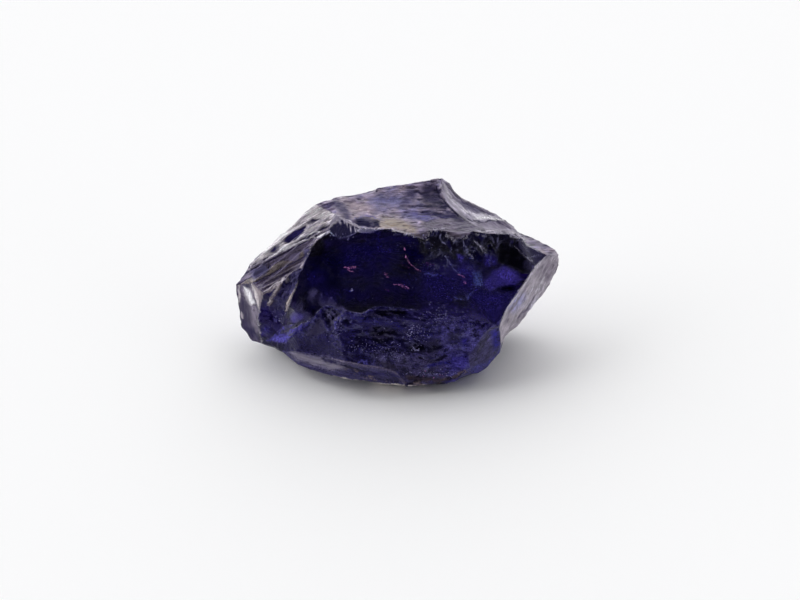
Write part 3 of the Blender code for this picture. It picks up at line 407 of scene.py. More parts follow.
BLADE_MARKS = [
    spot([(-15.0, 0.3), (-14.2, 0.0), (-13.8, -1.9), (-14.4, -2.8), (-14.9, -2.3), (-15.1, -0.6)], 0.6,
        "#3b364c", soft=0.4),
    spot([(-14.9, -2.2), (-13.3, -2.5), (-12.9, -3.9), (-14.0, -3.8)], 0.45, "#211d44", soft=0.5),
    stroke([(-13.6, -0.6), (-13.7, -1.9), (-13.4, -3.0)], 0.75, "#81778c", width=0.25),
    spot([(-14.9, 1.7), (-14.4, 1.9), (-13.9, 1.2), (-14.4, 1.1)], 0.4, SLATE, soft=0.12),
    spot([(-13.8, 1.5), (-12.7, 0.7), (-12.7, 0.1), (-13.1, -0.5), (-13.5, 0.4)], 0.88, TAUPE, soft=0.1),
    stroke([(-13.3, 1.1), (-12.9, 0.5), (-12.9, 0.0)], 0.8, "#7d7278", width=0.07, rise=-0.03),
    stroke([(-13.8, 1.4), (-13.4, 0.4), (-13.1, -0.9)], 0.92, "#d5ccd0", width=0.15, rise=0.04),
    stroke([(-13.7, 0.2), (-13.3, -0.9)], 0.3, SLATE, width=0.07, rise=-0.04),
    # A painted highlight: the white stripe near the blade's upper edge
    spot([(-14.6, 1.3), (-14.1, 1.0), (-13.85, 0.3), (-13.6, -0.3), (-13.85, -0.5), (-14.3, 0.3)], 0.97,
        PAINTED_HIGHLIGHT, soft=0.12, rise=0.03),
    stroke([(-14.6, 0.9), (-14.3, 0.0), (-13.9, -0.6)], 0.9, "#b7b0bc", width=0.12),
    stroke([(-15.1, 1.6), (-15.0, 0.7), (-15.1, -0.2)], 0.9, "#cdc6cc", width=0.14),
    stroke([(-14.8, -1.2), (-14.7, -1.8)], 0.9, "#b8b0b8", width=0.12),
    stroke([(-13.1, -0.7), (-13.2, -2.0), (-12.9, -3.9)], 0.92, "#e6e1ea", width=0.09, rise=0.04),
]
VISIBLE_MARKS = [
    spot([(-12.4, -3.8), (-11.7, -3.3), (-10.8, -3.2), (-10.3, -3.4), (-10.7, -3.9)], 0.9, "#655dc8",
        dull=0.1, soft=0.25),
    stroke([(-11.8, -3.3), (-11.0, -2.7), (-9.9, -2.3)], 0.75, "#544c9c", dull=0.1, width=0.16, rise=0.04),
    stroke([(-11.2, -3.5), (-9.9, -2.8), (-8.5, -2.1)], 0.75, "#4a4298", dull=0.1, width=0.22, rise=0.04),
    stroke([(-10.4, -3.6), (-9.2, -2.7), (-8.0, -1.7), (-7.4, -0.9)], 0.55, "#332c84", dull=0.12,
        width=0.14, rise=0.04),
]
MARKS = {
    "top": TOP_MARKS,
    "scoop": SCOOP_MARKS,
    "shoulder": SHOULDER_MARKS,
    "chip": CHIP_MARKS,
    "window": WINDOW_MARKS,
    "tip_facet": TIP_FACET_MARKS,
    "right_bevel": RIGHT_BEVEL_MARKS,
    "heel": HEEL_MARKS,
    "apron": APRON_MARKS,
    "bevel": BEVEL_MARKS,
    "toe_face": TOE_FACE_MARKS,
    "blade": BLADE_MARKS,
    "visible": VISIBLE_MARKS,
}

# The clear or frosted ground of each face: cover, dullness and skin colour, before texture and marks
GROUND = {
    "top": (0.7, 0.32, "#91849d"),
    "scoop": (0.72, 0.3, "#a098ac"),
    "shoulder": (0.5, 0.3, ASH),
    "chip": (0.92, 0.6, "#0e0a30"),
    "window": (0.0, 0.02, CLEAR),
    "tip_facet": (0.35, 0.1, "#1f1c36"),
    "right_bevel": (0.88, 0.35, "#aca3b0"),
    "heel": (0.7, 0.14, "#4a4570"),
    "heel_under": (0.6, 0.2, "#56519c"),
    "apron": (0.5, 0.16, "#27215c"),
    "bevel": (0.75, 0.25, "#454068"),
    "toe_face": (0.15, 0.08, "#1b1550"),
    "blade": (0.74, 0.25, "#7a7184"),
    "hidden": (0.65, 0.3, "#6f667c"),
}

# The shoulder's long bars: from and to, in millimetres up from its foot and across the bars
BAR_FOOT = (-12.6, 0.6)
BAR_RUN = (0.885, 0.465)
# Paler bars and darker lines between them: partly the layers' own tones, partly painted light on the steps
# and painted shade in their grooves
BARS = [
    (2.90, 2.78, 0.2, SLATE, -0.06),
    (2.76, 2.62, 0.8, "#a79dab", 0.03),
    (2.60, 2.48, 0.25, SLATE, -0.06),
    (2.46, 2.02, 0.7, "#6d637a", 0.0),
    (2.00, 1.92, 0.2, SLATE, -0.06),
    (1.90, 1.42, 0.75, "#80756f", 0.02),
    (1.40, 1.28, 0.15, SLATE, -0.06),
    (1.26, 1.02, 0.6, "#564b58", -0.02),
    (1.00, 0.92, 0.75, "#958b96", 0.02),
    (0.90, 0.64, 0.5, "#463d4b", -0.04),
    (0.62, 0.52, 0.8, "#a096a0", 0.04),
    (0.48, 0.22, 0.5, "#544a57", -0.03),
]

# Broken edges: how far small chips reach to each side, how many places are chipped, the colour of the bright
# chips, which is partly their frost and partly a painted highlight along the ridge, and how many are dark
EDGES = [
    (BROW[4:], 0.26, 0.2, "#a9a4b8", 1.0),
    (BROW[1:6], 0.24, 0.3, "#c9c2cc", 1.0),
    ([(-3.9, 6.6)] + BROW[:2], 0.12, 0.2, "#b4b0c4", 1.0),
    (SHOULDER_FOOT[1::-1], 0.12, 0.2, "#b4b0c4", 1.0),
    (TIP_TOP, 0.1, 0.0, "#c9c4d4", 0.5),
    ([(13.7, 4.1)] + RIGHT_EDGE, 0.1, 0.1, "#c4bfd0", 0.5),
    (SHOULDER_FOOT[1:], 0.1, 0.1, "#b4aab4", 0.5),
    ([(-12.8, 0.6), (-13.2, -1.9), (-12.9, -4.0)], 0.1, 0.0, "#e0dce6", 0.5),
    (SHOULDER_BACK + [(-5.9, 9.6), (-2.5, 10.3), (0.2, 10.9), (3.9, 11.6)], 0.25, 0.4, "#bbb3bf", 0.2),
    ([(3.9, 11.6), (5.2, 10.2), (7.1, 9.2), (9.2, 8.1), (11.0, 6.6), (14.4, 5.0)], 0.2, 0.4, "#b4aebc", 0.2),
    ([(-5.0, -6.6), (-1.3, -7.6), (3.0, -7.9), (6.4, -6.6)], 0.25, 0.3, "#7b6d72", 0.5),
]
FRINGE = EDGES[:2]  # hackles hang from these two
BROW_EDGES = 3  # how many of them lie along the brow


def linear(hex_colour):
    """An sRGB hex colour as Blender's linear colour."""
    parts = [int(hex_colour[i:i + 2], 16) / 255 for i in (1, 3, 5)]
    return [p / 12.92 if p <= 0.04045 else ((p + 0.055) / 1.055) ** 2.4 for p in parts] + [1.0]


def add(tree, kind, settings=None, **links):
    """A node of that kind in the tree, with its settings, and its inputs set or linked by name."""
    node = tree.nodes.new(kind)
    for key, value in (settings or {}).items():
        setattr(node, key, value)
    for key, value in links.items():
        socket = node.inputs[int(key[1:])] if key[1:].isdigit() else node.inputs[key.replace("_", " ")]
        if isinstance(value, bpy.types.NodeSocket):
            tree.links.new(value, socket)
        else:
            socket.default_value = value
    return node


def view_axes():
    """The camera's place, and its right, up and forward directions, in millimetres of the stone's frame."""
    low, high = (np.array(corner) / MM for corner in CAD_BOX)
    aim = np.array([(low[0] + high[0]) / 2 + AIM_RIGHT, low[1] + AIM_BEHIND, AIM_HEIGHT])
    forward = np.array([0.0, math.cos(VIEW_TILT), -math.sin(VIEW_TILT)])
    up = np.array([0.0, math.sin(VIEW_TILT), math.cos(VIEW_TILT)])
    return aim - forward * VIEW_DISTANCE, np.array([1.0, 0.0, 0.0]), up, forward


def seen(spots):
    """Where the camera sees these places: millimetres right of the middle of its view, and above it."""
    eye, right, up, forward = view_axes()
    sight = spots - eye
    size = VIEW_DISTANCE / (sight @ forward)
    return np.stack([sight @ right * size, sight @ up * size], axis=1)


def edge_gap(marks, border):
    """How far inside a closed border each mark is, in millimetres; below nothing where it is outside."""
    border = np.array(border)
    gap = np.full(len(marks), 1e9)
    inside = np.zeros(len(marks), bool)
    for start, end in zip(border, np.roll(border, -1, axis=0)):
        run = end - start
        share = np.clip((marks - start) @ run / (run @ run), 0.0, 1.0)
        gap = np.minimum(gap, np.linalg.norm(marks - start - share[:, None] * run, axis=1))
        if run[1]:
            crosses = (marks[:, 1] >= start[1]) != (marks[:, 1] >= end[1])
            meeting = start[0] + (marks[:, 1] - start[1]) / run[1] * run[0]
            inside ^= crosses & (marks[:, 0] < meeting)
    return np.where(inside, gap, -gap)


def line_gap(marks, line):
    """How far each mark is from an open line, and how far along the line, from 0 to 1."""
    line = np.array(line, float)
    gap = np.full(len(marks), 1e9)
    along = np.zeros(len(marks))
    lengths = np.linalg.norm(np.diff(line, axis=0), axis=1)
    done = 0.0
    for start, end, length in zip(line, line[1:], lengths):
        run = end - start
        share = np.clip((marks - start) @ run / (run @ run), 0.0, 1.0)
        away = np.linalg.norm(marks - start - share[:, None] * run, axis=1)
        nearer = away < gap
        gap = np.where(nearer, away, gap)
        along = np.where(nearer, (done + share * length) / lengths.sum(), along)
        done += length
    return gap, along


def ramp(values, low, high):
    """Rises smoothly from 0 at low to 1 at high."""
    share = np.clip((values - low) / (high - low), 0.0, 1.0)
    return share * share * (3 - 2 * share)


def lumps(spots, size, seed=0.0):
    """Smooth noise from about -1 to 1, with lumps of that size, or of one size for each axis."""
    places = spots / np.array(size) + seed
    return np.array([noise.noise(place) for place in places.tolist()]) * 1.6


def rough(spots, size, octaves=3, seed=0.0):
    """Noise with finer and finer lumps on its lumps."""
    total = np.zeros(len(spots))
    for octave in range(octaves):
        total += lumps(spots, np.array(size) / 2 ** octave, seed + 17 * octave) / 2 ** octave
    return total


def along_only(places, size, seed=0.0):
    """Noise that changes along one direction only."""
    return lumps(np.column_stack([places, places * 0, places * 0]), size, seed)


def facets(spots, size, seed=0.0):
    """Heights, in sizes, of a surface broken into flat facets that lean at random."""
    heights = []
    for place in (spots / size + seed).tolist():
        middle = noise.voronoi(place)[1][0]
        lean = [noise.noise(middle * 3.7 + Vector(shift)) for shift in ((9, 0, 0), (0, 9, 0), (0, 0, 9))]
        heights.append(Vector(lean).dot(Vector(place) - middle) + 0.3 * noise.noise(middle * 5.1))
    return np.array(heights)


def spots_of(mesh):
    """A mesh's points in millimetres."""
    flat = np.empty(len(mesh.vertices) * 3)
    mesh.vertices.foreach_get("co", flat)
    return flat.reshape(-1, 3) / MM


def normals_of(mesh):
    """A mesh's normals at its points."""
    flat = np.empty(len(mesh.vertices) * 3)
    mesh.vertices.foreach_get("normal", flat)
    return flat.reshape(-1, 3)


def piece(name, mesh, material):
    """A piece of the stone with its material, riding on the stone's body."""
    thing = bpy.data.objects.new(name, mesh)
    bpy.context.scene.collection.objects.link(thing)
    mesh.materials.clear()
    mesh.materials.append(material)
    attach(thing, "root")
    return thing


def cells(spots, size, seed=0.0):
    """For each place, a value from about -1 to 1 that it shares with the rest of its cell."""
    middles = [noise.voronoi(place)[1][0] for place in (spots / size + seed).tolist()]
    return np.array([noise.noise(middle * 5.1) for middle in middles]) * 1.8


def drawn_out(marks, run, length, width, seed=0.0, octaves=2):
    """Noise drawn out along a direction of the camera's view."""
    run = np.array(run) / np.hypot(*run)
    along = marks @ run
    across = marks @ np.array([-run[1], run[0]])
    bend = 0.5 * width * lumps(np.column_stack([marks, marks[:, 0] * 0]), 1.2, seed + 40)
    return rough(np.column_stack([along / length, (across + bend) / width, along * 0]), 1.0, octaves, seed)


# The stone's mesh

# The longest edges wanted in the mesh, and the gap that is welded, in millimetres
HIDDEN_EDGE = 0.32
PLAIN_EDGE = 0.2
BROKEN_EDGE = 0.145
CHIPPED_EDGE = 0.11
WELD = 0.001
# For each round of cutting edges: the least edge cut, and how often the mesh is smoothed after it
REFINEMENTS = ((0.4, 6), (0.2, 3), (0.0, 1), (0.0, 0))
GRAZING = -0.05  # places that face the camera less than this are hidden from it


def welded_solid():
    """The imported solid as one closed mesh, with its ridges marked to stay hard."""
    mesh = bmesh.new()
    mesh.from_mesh(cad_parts["iolite"].data)
    bmesh.ops.remove_doubles(mesh, verts=mesh.verts, dist=WELD * MM)
    bmesh.ops.recalc_face_normals(mesh, faces=mesh.faces)
    crease = mesh.edges.layers.float.new("crease_edge")
    for edge in mesh.edges:
        if edge.is_manifold and edge.calc_face_angle() > RIDGE_ANGLE:
            edge[crease] = 1.0
    return mesh


def facing(spots, normals):
    """How much each place faces the camera, from -1 to 1."""
    sight = view_axes()[0] - spots
    return (normals * sight).sum(axis=1) / np.linalg.norm(sight, axis=1)


def wanted_edge(middles, normals):
    """The longest mesh edge wanted at each place."""
    marks = seen(middles)
    wanted = np.where(facing(middles, normals) > GRAZING, BROKEN_EDGE, HIDDEN_EDGE)
    plain = np.max([edge_gap(marks, FACES[face]) for face in ("heel", "heel_under")], axis=0) > 0.2
    clear = (edge_gap(marks, FACES["window"]) > 2.4) & (marks[:, 0] < 3.5)
    wanted = np.where((plain | clear) & (wanted < HIDDEN_EDGE), PLAIN_EDGE, wanted)
    chipped = np.min([line_gap(marks, edge[0])[0] for edge in EDGES[:BROW_EDGES]], axis=0) < 1.2
    return np.where(chipped & (wanted < HIDDEN_EDGE), CHIPPED_EDGE, wanted)


def refine(mesh, least, rounds):
    """Halve the edges that are longer than wanted, then relax the mesh between the ridges."""
    crease = mesh.edges.layers.float["crease_edge"]
    mesh.normal_update()
    edges = list(mesh.edges)
    ends = np.array([[vert.co for vert in edge.verts] for edge in edges]) / MM
    normals = np.array([edge.verts[0].normal + edge.verts[1].normal for edge in edges])
    normals /= np.linalg.norm(normals, axis=1)[:, None] + 1e-9
    wanted = np.maximum(wanted_edge(ends.mean(axis=1), normals), least)
    long = np.linalg.norm(ends[:, 0] - ends[:, 1], axis=1) > wanted
    bmesh.ops.subdivide_edges(mesh, edges=[edge for edge, cut in zip(edges, long) if cut], cuts=1,
                              use_grid_fill=True)
    bmesh.ops.triangulate(mesh, faces=[face for face in mesh.faces if len(face.verts) > 3])
    loose = [vert for vert in mesh.verts if not any(edge[crease] for edge in vert.link_edges)]
    for _ in range(rounds):
        bmesh.ops.smooth_vert(mesh, verts=loose, factor=0.5, use_axis_x=True, use_axis_y=True,
                              use_axis_z=True)


def fine_stone():
    """The stone's mesh, finest where the camera sees broken places."""
    mesh = welded_solid()
    for least, rounds in REFINEMENTS:
        refine(mesh, least, rounds)
    data = bpy.data.meshes.new("iolite_stone")
    mesh.to_mesh(data)
    mesh.free()
    data.update()
    return data


# The stone's skin and relief

MOST_COVER = 0.97
SKIN_TONES = (0.002, 0.95)  # the darkest and lightest that broken cordierite gets


def mix(paint, share, cover, dull, colour, rise=0.0):
    """Lay a skin of that cover, dullness and colour over the paint, and raise it, by each point's share."""
    new = share * cover
    old = (1 - share) * (paint["cover"] + 0.02)
    weight = new / (new + old + 1e-6)
    paint["cover"] += (cover - paint["cover"]) * share
    paint["dull"] += (dull - paint["dull"]) * share
    paint["colour"] += (np.array(linear(colour)) - paint["colour"]) * weight[:, None]
    paint["rise"] += rise * share


def shade(paint, amount):
    """Make the skin lighter or darker, by a share of its brightness."""
    paint["colour"] *= np.clip(1 + amount, 0.2, 2.6)[:, None]


def streak(paint, along, across, length, width):
    """Lay the run of the fine streaks that the material draws, in streak lengths and widths."""
    paint["flow"][:] = np.column_stack([along / length, across / width, along * 0])


def vein(paint, share, amount):
    """Let the material draw thin lines along the streaks: pale ones above zero, dark ones below."""
    paint["veins"] += share * amount


def turned(marks, run):
    """How far the marks are along a direction of the view and across it."""
    run = np.array(run) / np.hypot(*run)
    return marks @ run, marks @ np.array([-run[1], run[0]])


def part_of(paint, near, work):
    """Let some work change the paint of a few points."""
    part = {key: value[near] for key, value in paint.items()}
    work(part)
    for key, value in part.items():
        paint[key][near] = value


def lay(mark, marks, inside, patches, paint):
    """Lay one mark on the points inside its face, stronger and weaker in small patches."""
    points = np.array(mark["points"])
    soft = mark["soft"]
    low = points.min(axis=0) - 2 * soft
    high = points.max(axis=0) + 2 * soft
    near = np.flatnonzero((marks > low).all(axis=1) & (marks < high).all(axis=1) & (inside > 0))
    if not len(near):
        return
    if mark["closed"]:
        share = ramp(edge_gap(marks[near], points), -soft, soft)
        share *= 1 - 0.25 * ramp(patches[near], 0.1, 0.9)
    else:
        gap, along = line_gap(marks[near], points)
        taper = 0.35 + 0.65 * np.sqrt(np.clip(4 * along * (1 - along), 0, 1))
        taper *= 1 + 0.5 * patches[near]
        share = 1 - ramp(gap, 0.45 * soft * taper, 1.15 * soft * taper + 0.02)
        share *= 1 - 0.7 * ramp(patches[near], 0.1, 0.8)
    part_of(paint, near, lambda part: mix(part, share * inside[near], mark["cover"], mark["dull"],
                                          mark["colour"], mark["rise"]))


def top_texture(spots, marks, share, paint):
    """Flowing steps and ripples, as a break leaves them across the stone's layers, mottled in tint."""
    steps = drawn_out(marks, (1, 0.04), 1.9, 0.34, 3.0, 3)
    fine = drawn_out(marks, (1, 0.02), 0.8, 0.13, 9.0)
    tint = rough(spots, 1.1, 3, 5.0)
    mix(paint, share * ramp(tint, 0.15, 0.8) * 0.7, 0.55, 0.3, "#7570a2")
    mix(paint, share * ramp(-tint, 0.15, 0.8) * 0.7, 0.66, 0.32, "#998890")
    cracked = ramp(marks[:, 0], -2.0, 2.5)
    flecks = drawn_out(marks, (1, -0.05), 0.9, 0.2, 25.0) + 0.5 * lumps(spots, 1.8, 33.0)
    mix(paint, share * ramp(flecks, 0.55 - 0.25 * cracked, 1.0 - 0.25 * cracked) * 0.9, 0.9, 0.6,
        "#211c3c", -0.05)
    paint["cover"] += share * (0.08 * steps + 0.08 * fine)
    shade(paint, share * (0.32 * steps + 0.42 * fine))
    paint["rise"] += share * (0.035 * steps + 0.014 * fine + 0.03 * facets(spots, 0.6, 4.0))
    vein(paint, share, -0.9 * ramp(lumps(spots, 0.9, 14.0) + 0.6 * cracked, -0.4, 0.9))
    streak(paint, *turned(marks, (1, 0.03)), 0.8, 0.1)


def scoop_texture(spots, marks, share, paint):
    """Ribs that sweep down the hollow."""
    sweep = drawn_out(marks, (0.62, -0.55), 2.2, 0.3, 15.0, 3)
    paint["rise"] += share * 0.03 * sweep
    shade(paint, share * 0.3 * sweep)
    vein(paint, share, -0.8 * ramp(lumps(spots, 0.9, 14.0), -0.4, 0.9))
    streak(paint, *turned(marks, (0.62, -0.55)), 1.2, 0.12)


def shoulder_texture(spots, marks, share, paint):
    """Long flat bars, where the break stepped from layer to layer, and a scratched crest above them."""
    along, across = turned(marks - np.array(BAR_FOOT), BAR_RUN)
    across = across + 0.03 * lumps(np.column_stack([along / 3, across, across * 0]), 0.6, 4.0)
    fine = lumps(np.column_stack([along / 5, across * 3, across * 0]), 0.3, 8.0)
    # Paler bars and darker lines: partly their own tones, partly painted light on the steps and painted
    # shade in the grooves
    for high, low, cover, colour, rise in BARS:
        within = ramp(across, low - 0.03, low + 0.03) * (1 - ramp(across, high - 0.03, high + 0.03))
        worn = lumps(np.column_stack([along, across * 0, across * 0 + high]), 1.6)
        within *= 0.65 + 0.35 * ramp(worn, -0.5, 0.3)
        mix(paint, within * share, cover, 0.2, colour, rise)
    crest = ramp(across, 2.85, 3.1) * share
    scratches = drawn_out(marks, (1, 0.62), 1.3, 0.16, 12.0)
    mix(paint, crest, 0.93, 0.3, "#e2dadf")
    mix(paint, crest * ramp(lumps(spots, 1.2, 9.0), 0.3, 0.9) * 0.4, 0.8, 0.3, "#9a91a6")
    shade(paint, crest * 0.3 * scratches + share * (0.2 + 0.25 * fine))
    paint["rise"] += crest * 0.03 * scratches
    vein(paint, share, -0.4 * ramp(lumps(spots, 0.9, 14.0), -0.4, 0.9))
    streak(paint, along, across, 1.6, 0.1)


def chip_texture(spots, marks, share, paint):
    """Fine splinters that hang from the chip's upper edge."""
    gap = line_gap(marks, CHIP_TOP)[0]
    splinters = lumps(np.column_stack([marks[:, 0] + marks[:, 1] * 0.25, marks[:, 1] / 6, marks[:, 0] * 0]),
                      0.13, 6.0)
    hang = 0.35 + 0.45 * along_only(marks[:, 0], 0.3, 2.0)
    pale = ramp(splinters, 0.05, 0.4) * (1 - ramp(gap, hang, hang + 0.3))
    paint["rise"] += share * 0.02 * splinters
    mix(paint, share * pale, 0.85, 0.3, "#b4adc2")
    streak(paint, *turned(marks, (0.25, 1)), 0.7, 0.1)


def window_texture(spots, marks, share, paint):
    """A nearly smooth face with low waves, a fringe of hackles under the brow and curls beside it."""
    paint["rise"] += share * 0.03 * rough(spots, 2.4, 2, 5.0)
    left = share * (1 - ramp(marks[:, 0], -8.5, -5.0))
    paint["rise"] += left * 0.05 * facets(spots, 1.3, 17.0)
    # Painted glow: faint violet skin in soft clouds over the left of the face
    clouds = ramp(rough(spots, 1.6, 3, 61.0), 0.2, 1.0)
    mix(paint, left * clouds * 0.6, 0.03, 0.05, PAINTED_GLOW)
    gap = np.min([line_gap(marks, edge[0])[0] for edge in FRINGE], axis=0)
    reach = 1.1 + 0.8 * along_only(marks[:, 0], 0.8, 11.0)
    wide = ramp(marks[:, 0], 1.6, 3.2) * (1 - ramp(marks[:, 0], 10.2, 11.2))
    hang = share * (1 - ramp(gap, 0.4 * reach, reach + 0.6)) * wide
    value = cells(np.column_stack([marks[:, 0], marks[:, 1] * 0.6, marks[:, 0] * 0]), 0.5, 3.0)
    mix(paint, hang, 0.85, 0.5, "#0a0818")
    mix(paint, hang * ramp(value, 0.1, 0.8) * 0.8, 0.8, 0.4, "#1c184c")
    paint["rise"] += hang * 0.04 * value
    vein(paint, hang, 0.28 * ramp(lumps(spots, 0.6, 7.0), -0.2, 0.5))
    beside = share * wide * (1 - ramp(gap, 2.4, 3.8)) * (1 - ramp(marks[:, 0], 8.2, 9.4))
    vein(paint, beside * (1 - hang), 0.25 * ramp(lumps(spots, 0.8, 71.0), 0.0, 0.5))
    streak(paint, *turned(marks, (0.25, 1)), 0.3, 0.16)


def right_bevel_texture(spots, marks, share, paint):
    """Fine ribs that run along the bevel, with small dents between them."""
    along, across = turned(marks, (0.5, 0.87))
    ribs = drawn_out(marks, (0.5, 0.87), 1.6, 0.22, 44.0, 3)
    dents = rough(spots, 0.6, 3, 41.0)
    waves = np.sin(np.linalg.norm(marks - np.array([6.5, 6.5]), axis=1) / 0.7 * math.pi)
    paint["rise"] += share * (0.025 * ribs + 0.03 * dents + 0.015 * waves)
    shade(paint, share * (0.22 * ribs + 0.18 * dents + 0.05 * waves))
    mix(paint, share * ramp(dents, 0.7, 1.2) * 0.6, 0.6, 0.3, "#6b6178")
    vein(paint, share, -0.35 * ramp(lumps(spots, 0.9, 14.0), -0.2, 0.9))
    streak(paint, along, across, 0.6, 0.14)


def apron_texture(spots, marks, share, paint):
    """Crushed, shell-like breaks one over the other, with dark hollows and folds along the stone."""
    calm = 1 - 0.7 * ramp(edge_gap(marks, CALM_VEIL), -0.8, 0.6)
    calm *= 1 - 0.6 * ramp(edge_gap(marks, CALM_FOLD), -0.4, 0.4)
    right = share * ramp(marks[:, 0], 2.6, 5.0)
    low = share * ramp(-marks[:, 1], 4.4, 5.4) * ramp(marks[:, 0], -3.5, -1.5)
    mix(paint, right, 0.75, 0.16, "#564f98")
    mix(paint, low * (1 - right), 0.75, 0.18, "#544d7c")
    rolls = rough(spots, 1.3, 3, 3.0)
    folds = drawn_out(marks, (1, -0.12), 1.1, 0.32, 21.0)
    value = cells(spots * np.array([1.0, 1.0, 1.4]), 0.5, 13.0)
    crumbs = cells(spots, 0.22, 19.0)
    dark = share * calm * ramp(rolls + 0.35 * folds, 0.25, 1.0)
    mix(paint, dark * 0.8, 0.12, 0.08, INDIGO, -0.06)
    bright = share * calm * ramp(-rolls - 0.3 * folds, 0.2, 0.9)
    mix(paint, bright * 0.6, 0.55, 0.16, "#353072")
    vein(paint, share * calm, 0.25 * ramp(lumps(spots, 0.8, 23.0), 0.0, 0.6))
    sparks = share * calm * ramp(crumbs, 0.75, 0.95) * ramp(lumps(spots, 1.4, 27.0), -0.2, 0.5)
    mix(paint, sparks * 0.7, 0.75, 0.2, "#7a76b4")
    paint["rise"] += share * calm * (0.10 * value + 0.05 * folds + 0.035 * crumbs)
    shade(paint, share * calm * (0.3 * value + 0.25 * folds))
    shade(paint, share * (1 - calm) * 0.25 * drawn_out(marks, (1, -0.2), 2.2, 0.25, 51.0))
    # Painted glow: faint violet skin along the foot of the ledge
    foot = line_gap(marks, [(-2.4, -0.7), (0.5, -0.8), (3.7, -1.4), (9.3, -2.4)])[0]
    mix(paint, share * (1 - ramp(foot, 0.1, 1.3)) * ramp(marks[:, 0], -1.5, 1.5), 0.07, 0.06, PAINTED_GLOW)
    streak(paint, *turned(marks, (1, -0.15)), 0.35, 0.16)


def bevel_texture(spots, marks, share, paint):
    """Long layers along the lower edge, paler towards the foot."""
    lines = drawn_out(marks, (1, -0.24), 2.2, 0.2, 31.0, 3)
    paint["rise"] += share * 0.025 * lines
    shade(paint, share * (0.15 + 0.35 * lines))
    pale_foot = share * ramp(edge_gap(marks, FACES["bevel"]), 0.35, 0.0) * ramp(-marks[:, 1], 5.4, 6.2)
    mix(paint, pale_foot * 0.5, 0.8, 0.3, "#85798a")
    streak(paint, *turned(marks, (1, -0.24)), 1.6, 0.12)


def toe_texture(spots, marks, share, paint):
    """Dark crushed glass with violet glints."""
    value = cells(spots, 0.7, 8.0)
    crumbs = cells(spots, 0.25, 9.0)
    glints = ramp(rough(spots, 0.9, 2, 12.0), 0.1, 0.8)
    mix(paint, share * glints * 0.6, 0.35, 0.1, "#2c257c")
    mix(paint, share * ramp(crumbs, 0.8, 1.0) * 0.6, 0.75, 0.2, "#6a64b0")
    paint["rise"] += share * (0.08 * value + 0.03 * crumbs)
    vein(paint, share, 0.15 * ramp(lumps(spots, 0.8, 23.0), 0.0, 0.6))
    streak(paint, *turned(marks, (0.4, 1)), 0.5, 0.14)


def blade_texture(spots, marks, share, paint):
    """Thin layers that run down the blade."""
    layers = drawn_out(marks, (0.12, -1), 2.2, 0.2, 4.0, 3)
    paint["rise"] += share * 0.025 * layers
    shade(paint, share * 0.3 * layers)
    vein(paint, share, -0.4 * ramp(lumps(spots, 0.9, 14.0), 0.0, 0.9))
    streak(paint, *turned(marks, (0.12, -1)), 1.4, 0.1)


def heel_texture(spots, marks, share, paint):
    """A plain flat facet with faint clouds."""
    shade(paint, share * 0.4 * rough(spots, 0.8, 3, 6.0))
    streak(paint, *turned(marks, (0.8, 0.6)), 1.0, 0.3)


def hidden_texture(spots, marks, share, paint):
    """The sides that the camera doesn't see: shell-like breaks, frosted more and less, with fine steps."""
    shells = facets(spots, 4.2, 6.0)
    splits = facets(spots, 1.3, 16.0)
    ripples = np.sin(np.linalg.norm(spots - np.array([3.0, 14.0, 16.0]), axis=1) / 0.45 * math.pi)
    ripples *= ramp(rough(spots, 3.0, 2, 43.0), -0.1, 0.6)
    steps = rough(spots, (2.6, 0.6, 0.35), 3, 23.0)
    clear = ramp(rough(spots, 5.0, 2, 29.0) + 0.4 * shells, -0.3, 0.9)
    tint = rough(spots, (2.4, 1.4, 1.2), 3, 5.0)
    flecks = rough(spots, (1.4, 0.4, 0.25), 2, 25.0) + 0.5 * lumps(spots, 2.2, 33.0)
    off_floor = ramp(spots[:, 2], 0.15, 0.8)
    deep = off_floor * paint["away"]
    fine = 0.1 * splits + 0.03 * ripples + 0.04 * steps
    paint["rise"] += share * (0.3 * deep * shells + (0.3 + 0.7 * deep) * fine * off_floor)
    mix(paint, share * ramp(tint, 0.1, 0.9) * 0.7, 0.6, 0.3, "#5f5a80")
    mix(paint, share * ramp(-tint, 0.1, 0.9) * 0.7, 0.7, 0.32, "#7b6f79")
    mix(paint, share * clear * 0.85, 0.3, 0.12, "#38326c")
    mix(paint, share * ramp(flecks, 0.5, 1.1) * 0.85, 0.85, 0.5, "#221d40", -0.04)
    shade(paint, share * (0.3 * steps + 0.25 * splits + 0.06 * ripples))
    vein(paint, share, -0.6 * ramp(lumps(spots, 1.4, 14.0), -0.2, 0.8))
    most = share > 0.5
    paint["flow"][most] = spots[most] / np.array([1.2, 0.3, 0.2])


TEXTURES = {
    "top": top_texture,
    "scoop": scoop_texture,
    "shoulder": shoulder_texture,
    "chip": chip_texture,
    "window": window_texture,
    "right_bevel": right_bevel_texture,
    "apron": apron_texture,
    "bevel": bevel_texture,
    "toe_face": toe_texture,
    "blade": blade_texture,
    "heel": heel_texture,
    "hidden": hidden_texture,
}


def chip_edges(spots, marks, seen_share, paint):
    """Break small chips off the sharp edges, some dark and some bright; the bright ones are partly frost and
    partly a painted highlight along the ridge.
    """
    for line, reach, chipped, colour, dark in EDGES:
        gap = line_gap(marks, line)[0]
        near = np.flatnonzero((gap < 1.7 * reach) & (seen_share > 0))
        bent = spots[near] + 0.12 * rough(spots[near], 0.35, 2, 5.0)[:, None]
        value = cells(bent, 0.3, 7.0) + 0.4 * cells(bent, 0.13, 8.0)
        places = lumps(spots[near], 1.1, 3.0) + chipped
        uneven = reach * np.clip(0.9 + 0.8 * places, 0.05, 1.6)
        close = (1 - ramp(gap[near], 0.4 * uneven, uneven)) * seen_share[near]
        bright = close * ramp(value, 0.25, 0.75)
        hollow = close * dark * ramp(-value, 0.3, 0.8)
        part_of(paint, near, lambda part: mix(part, bright, 0.85, 0.25, colour, 0.03))
        part_of(paint, near, lambda part: mix(part, hollow, 0.15, 0.1, INDIGO, -0.05))


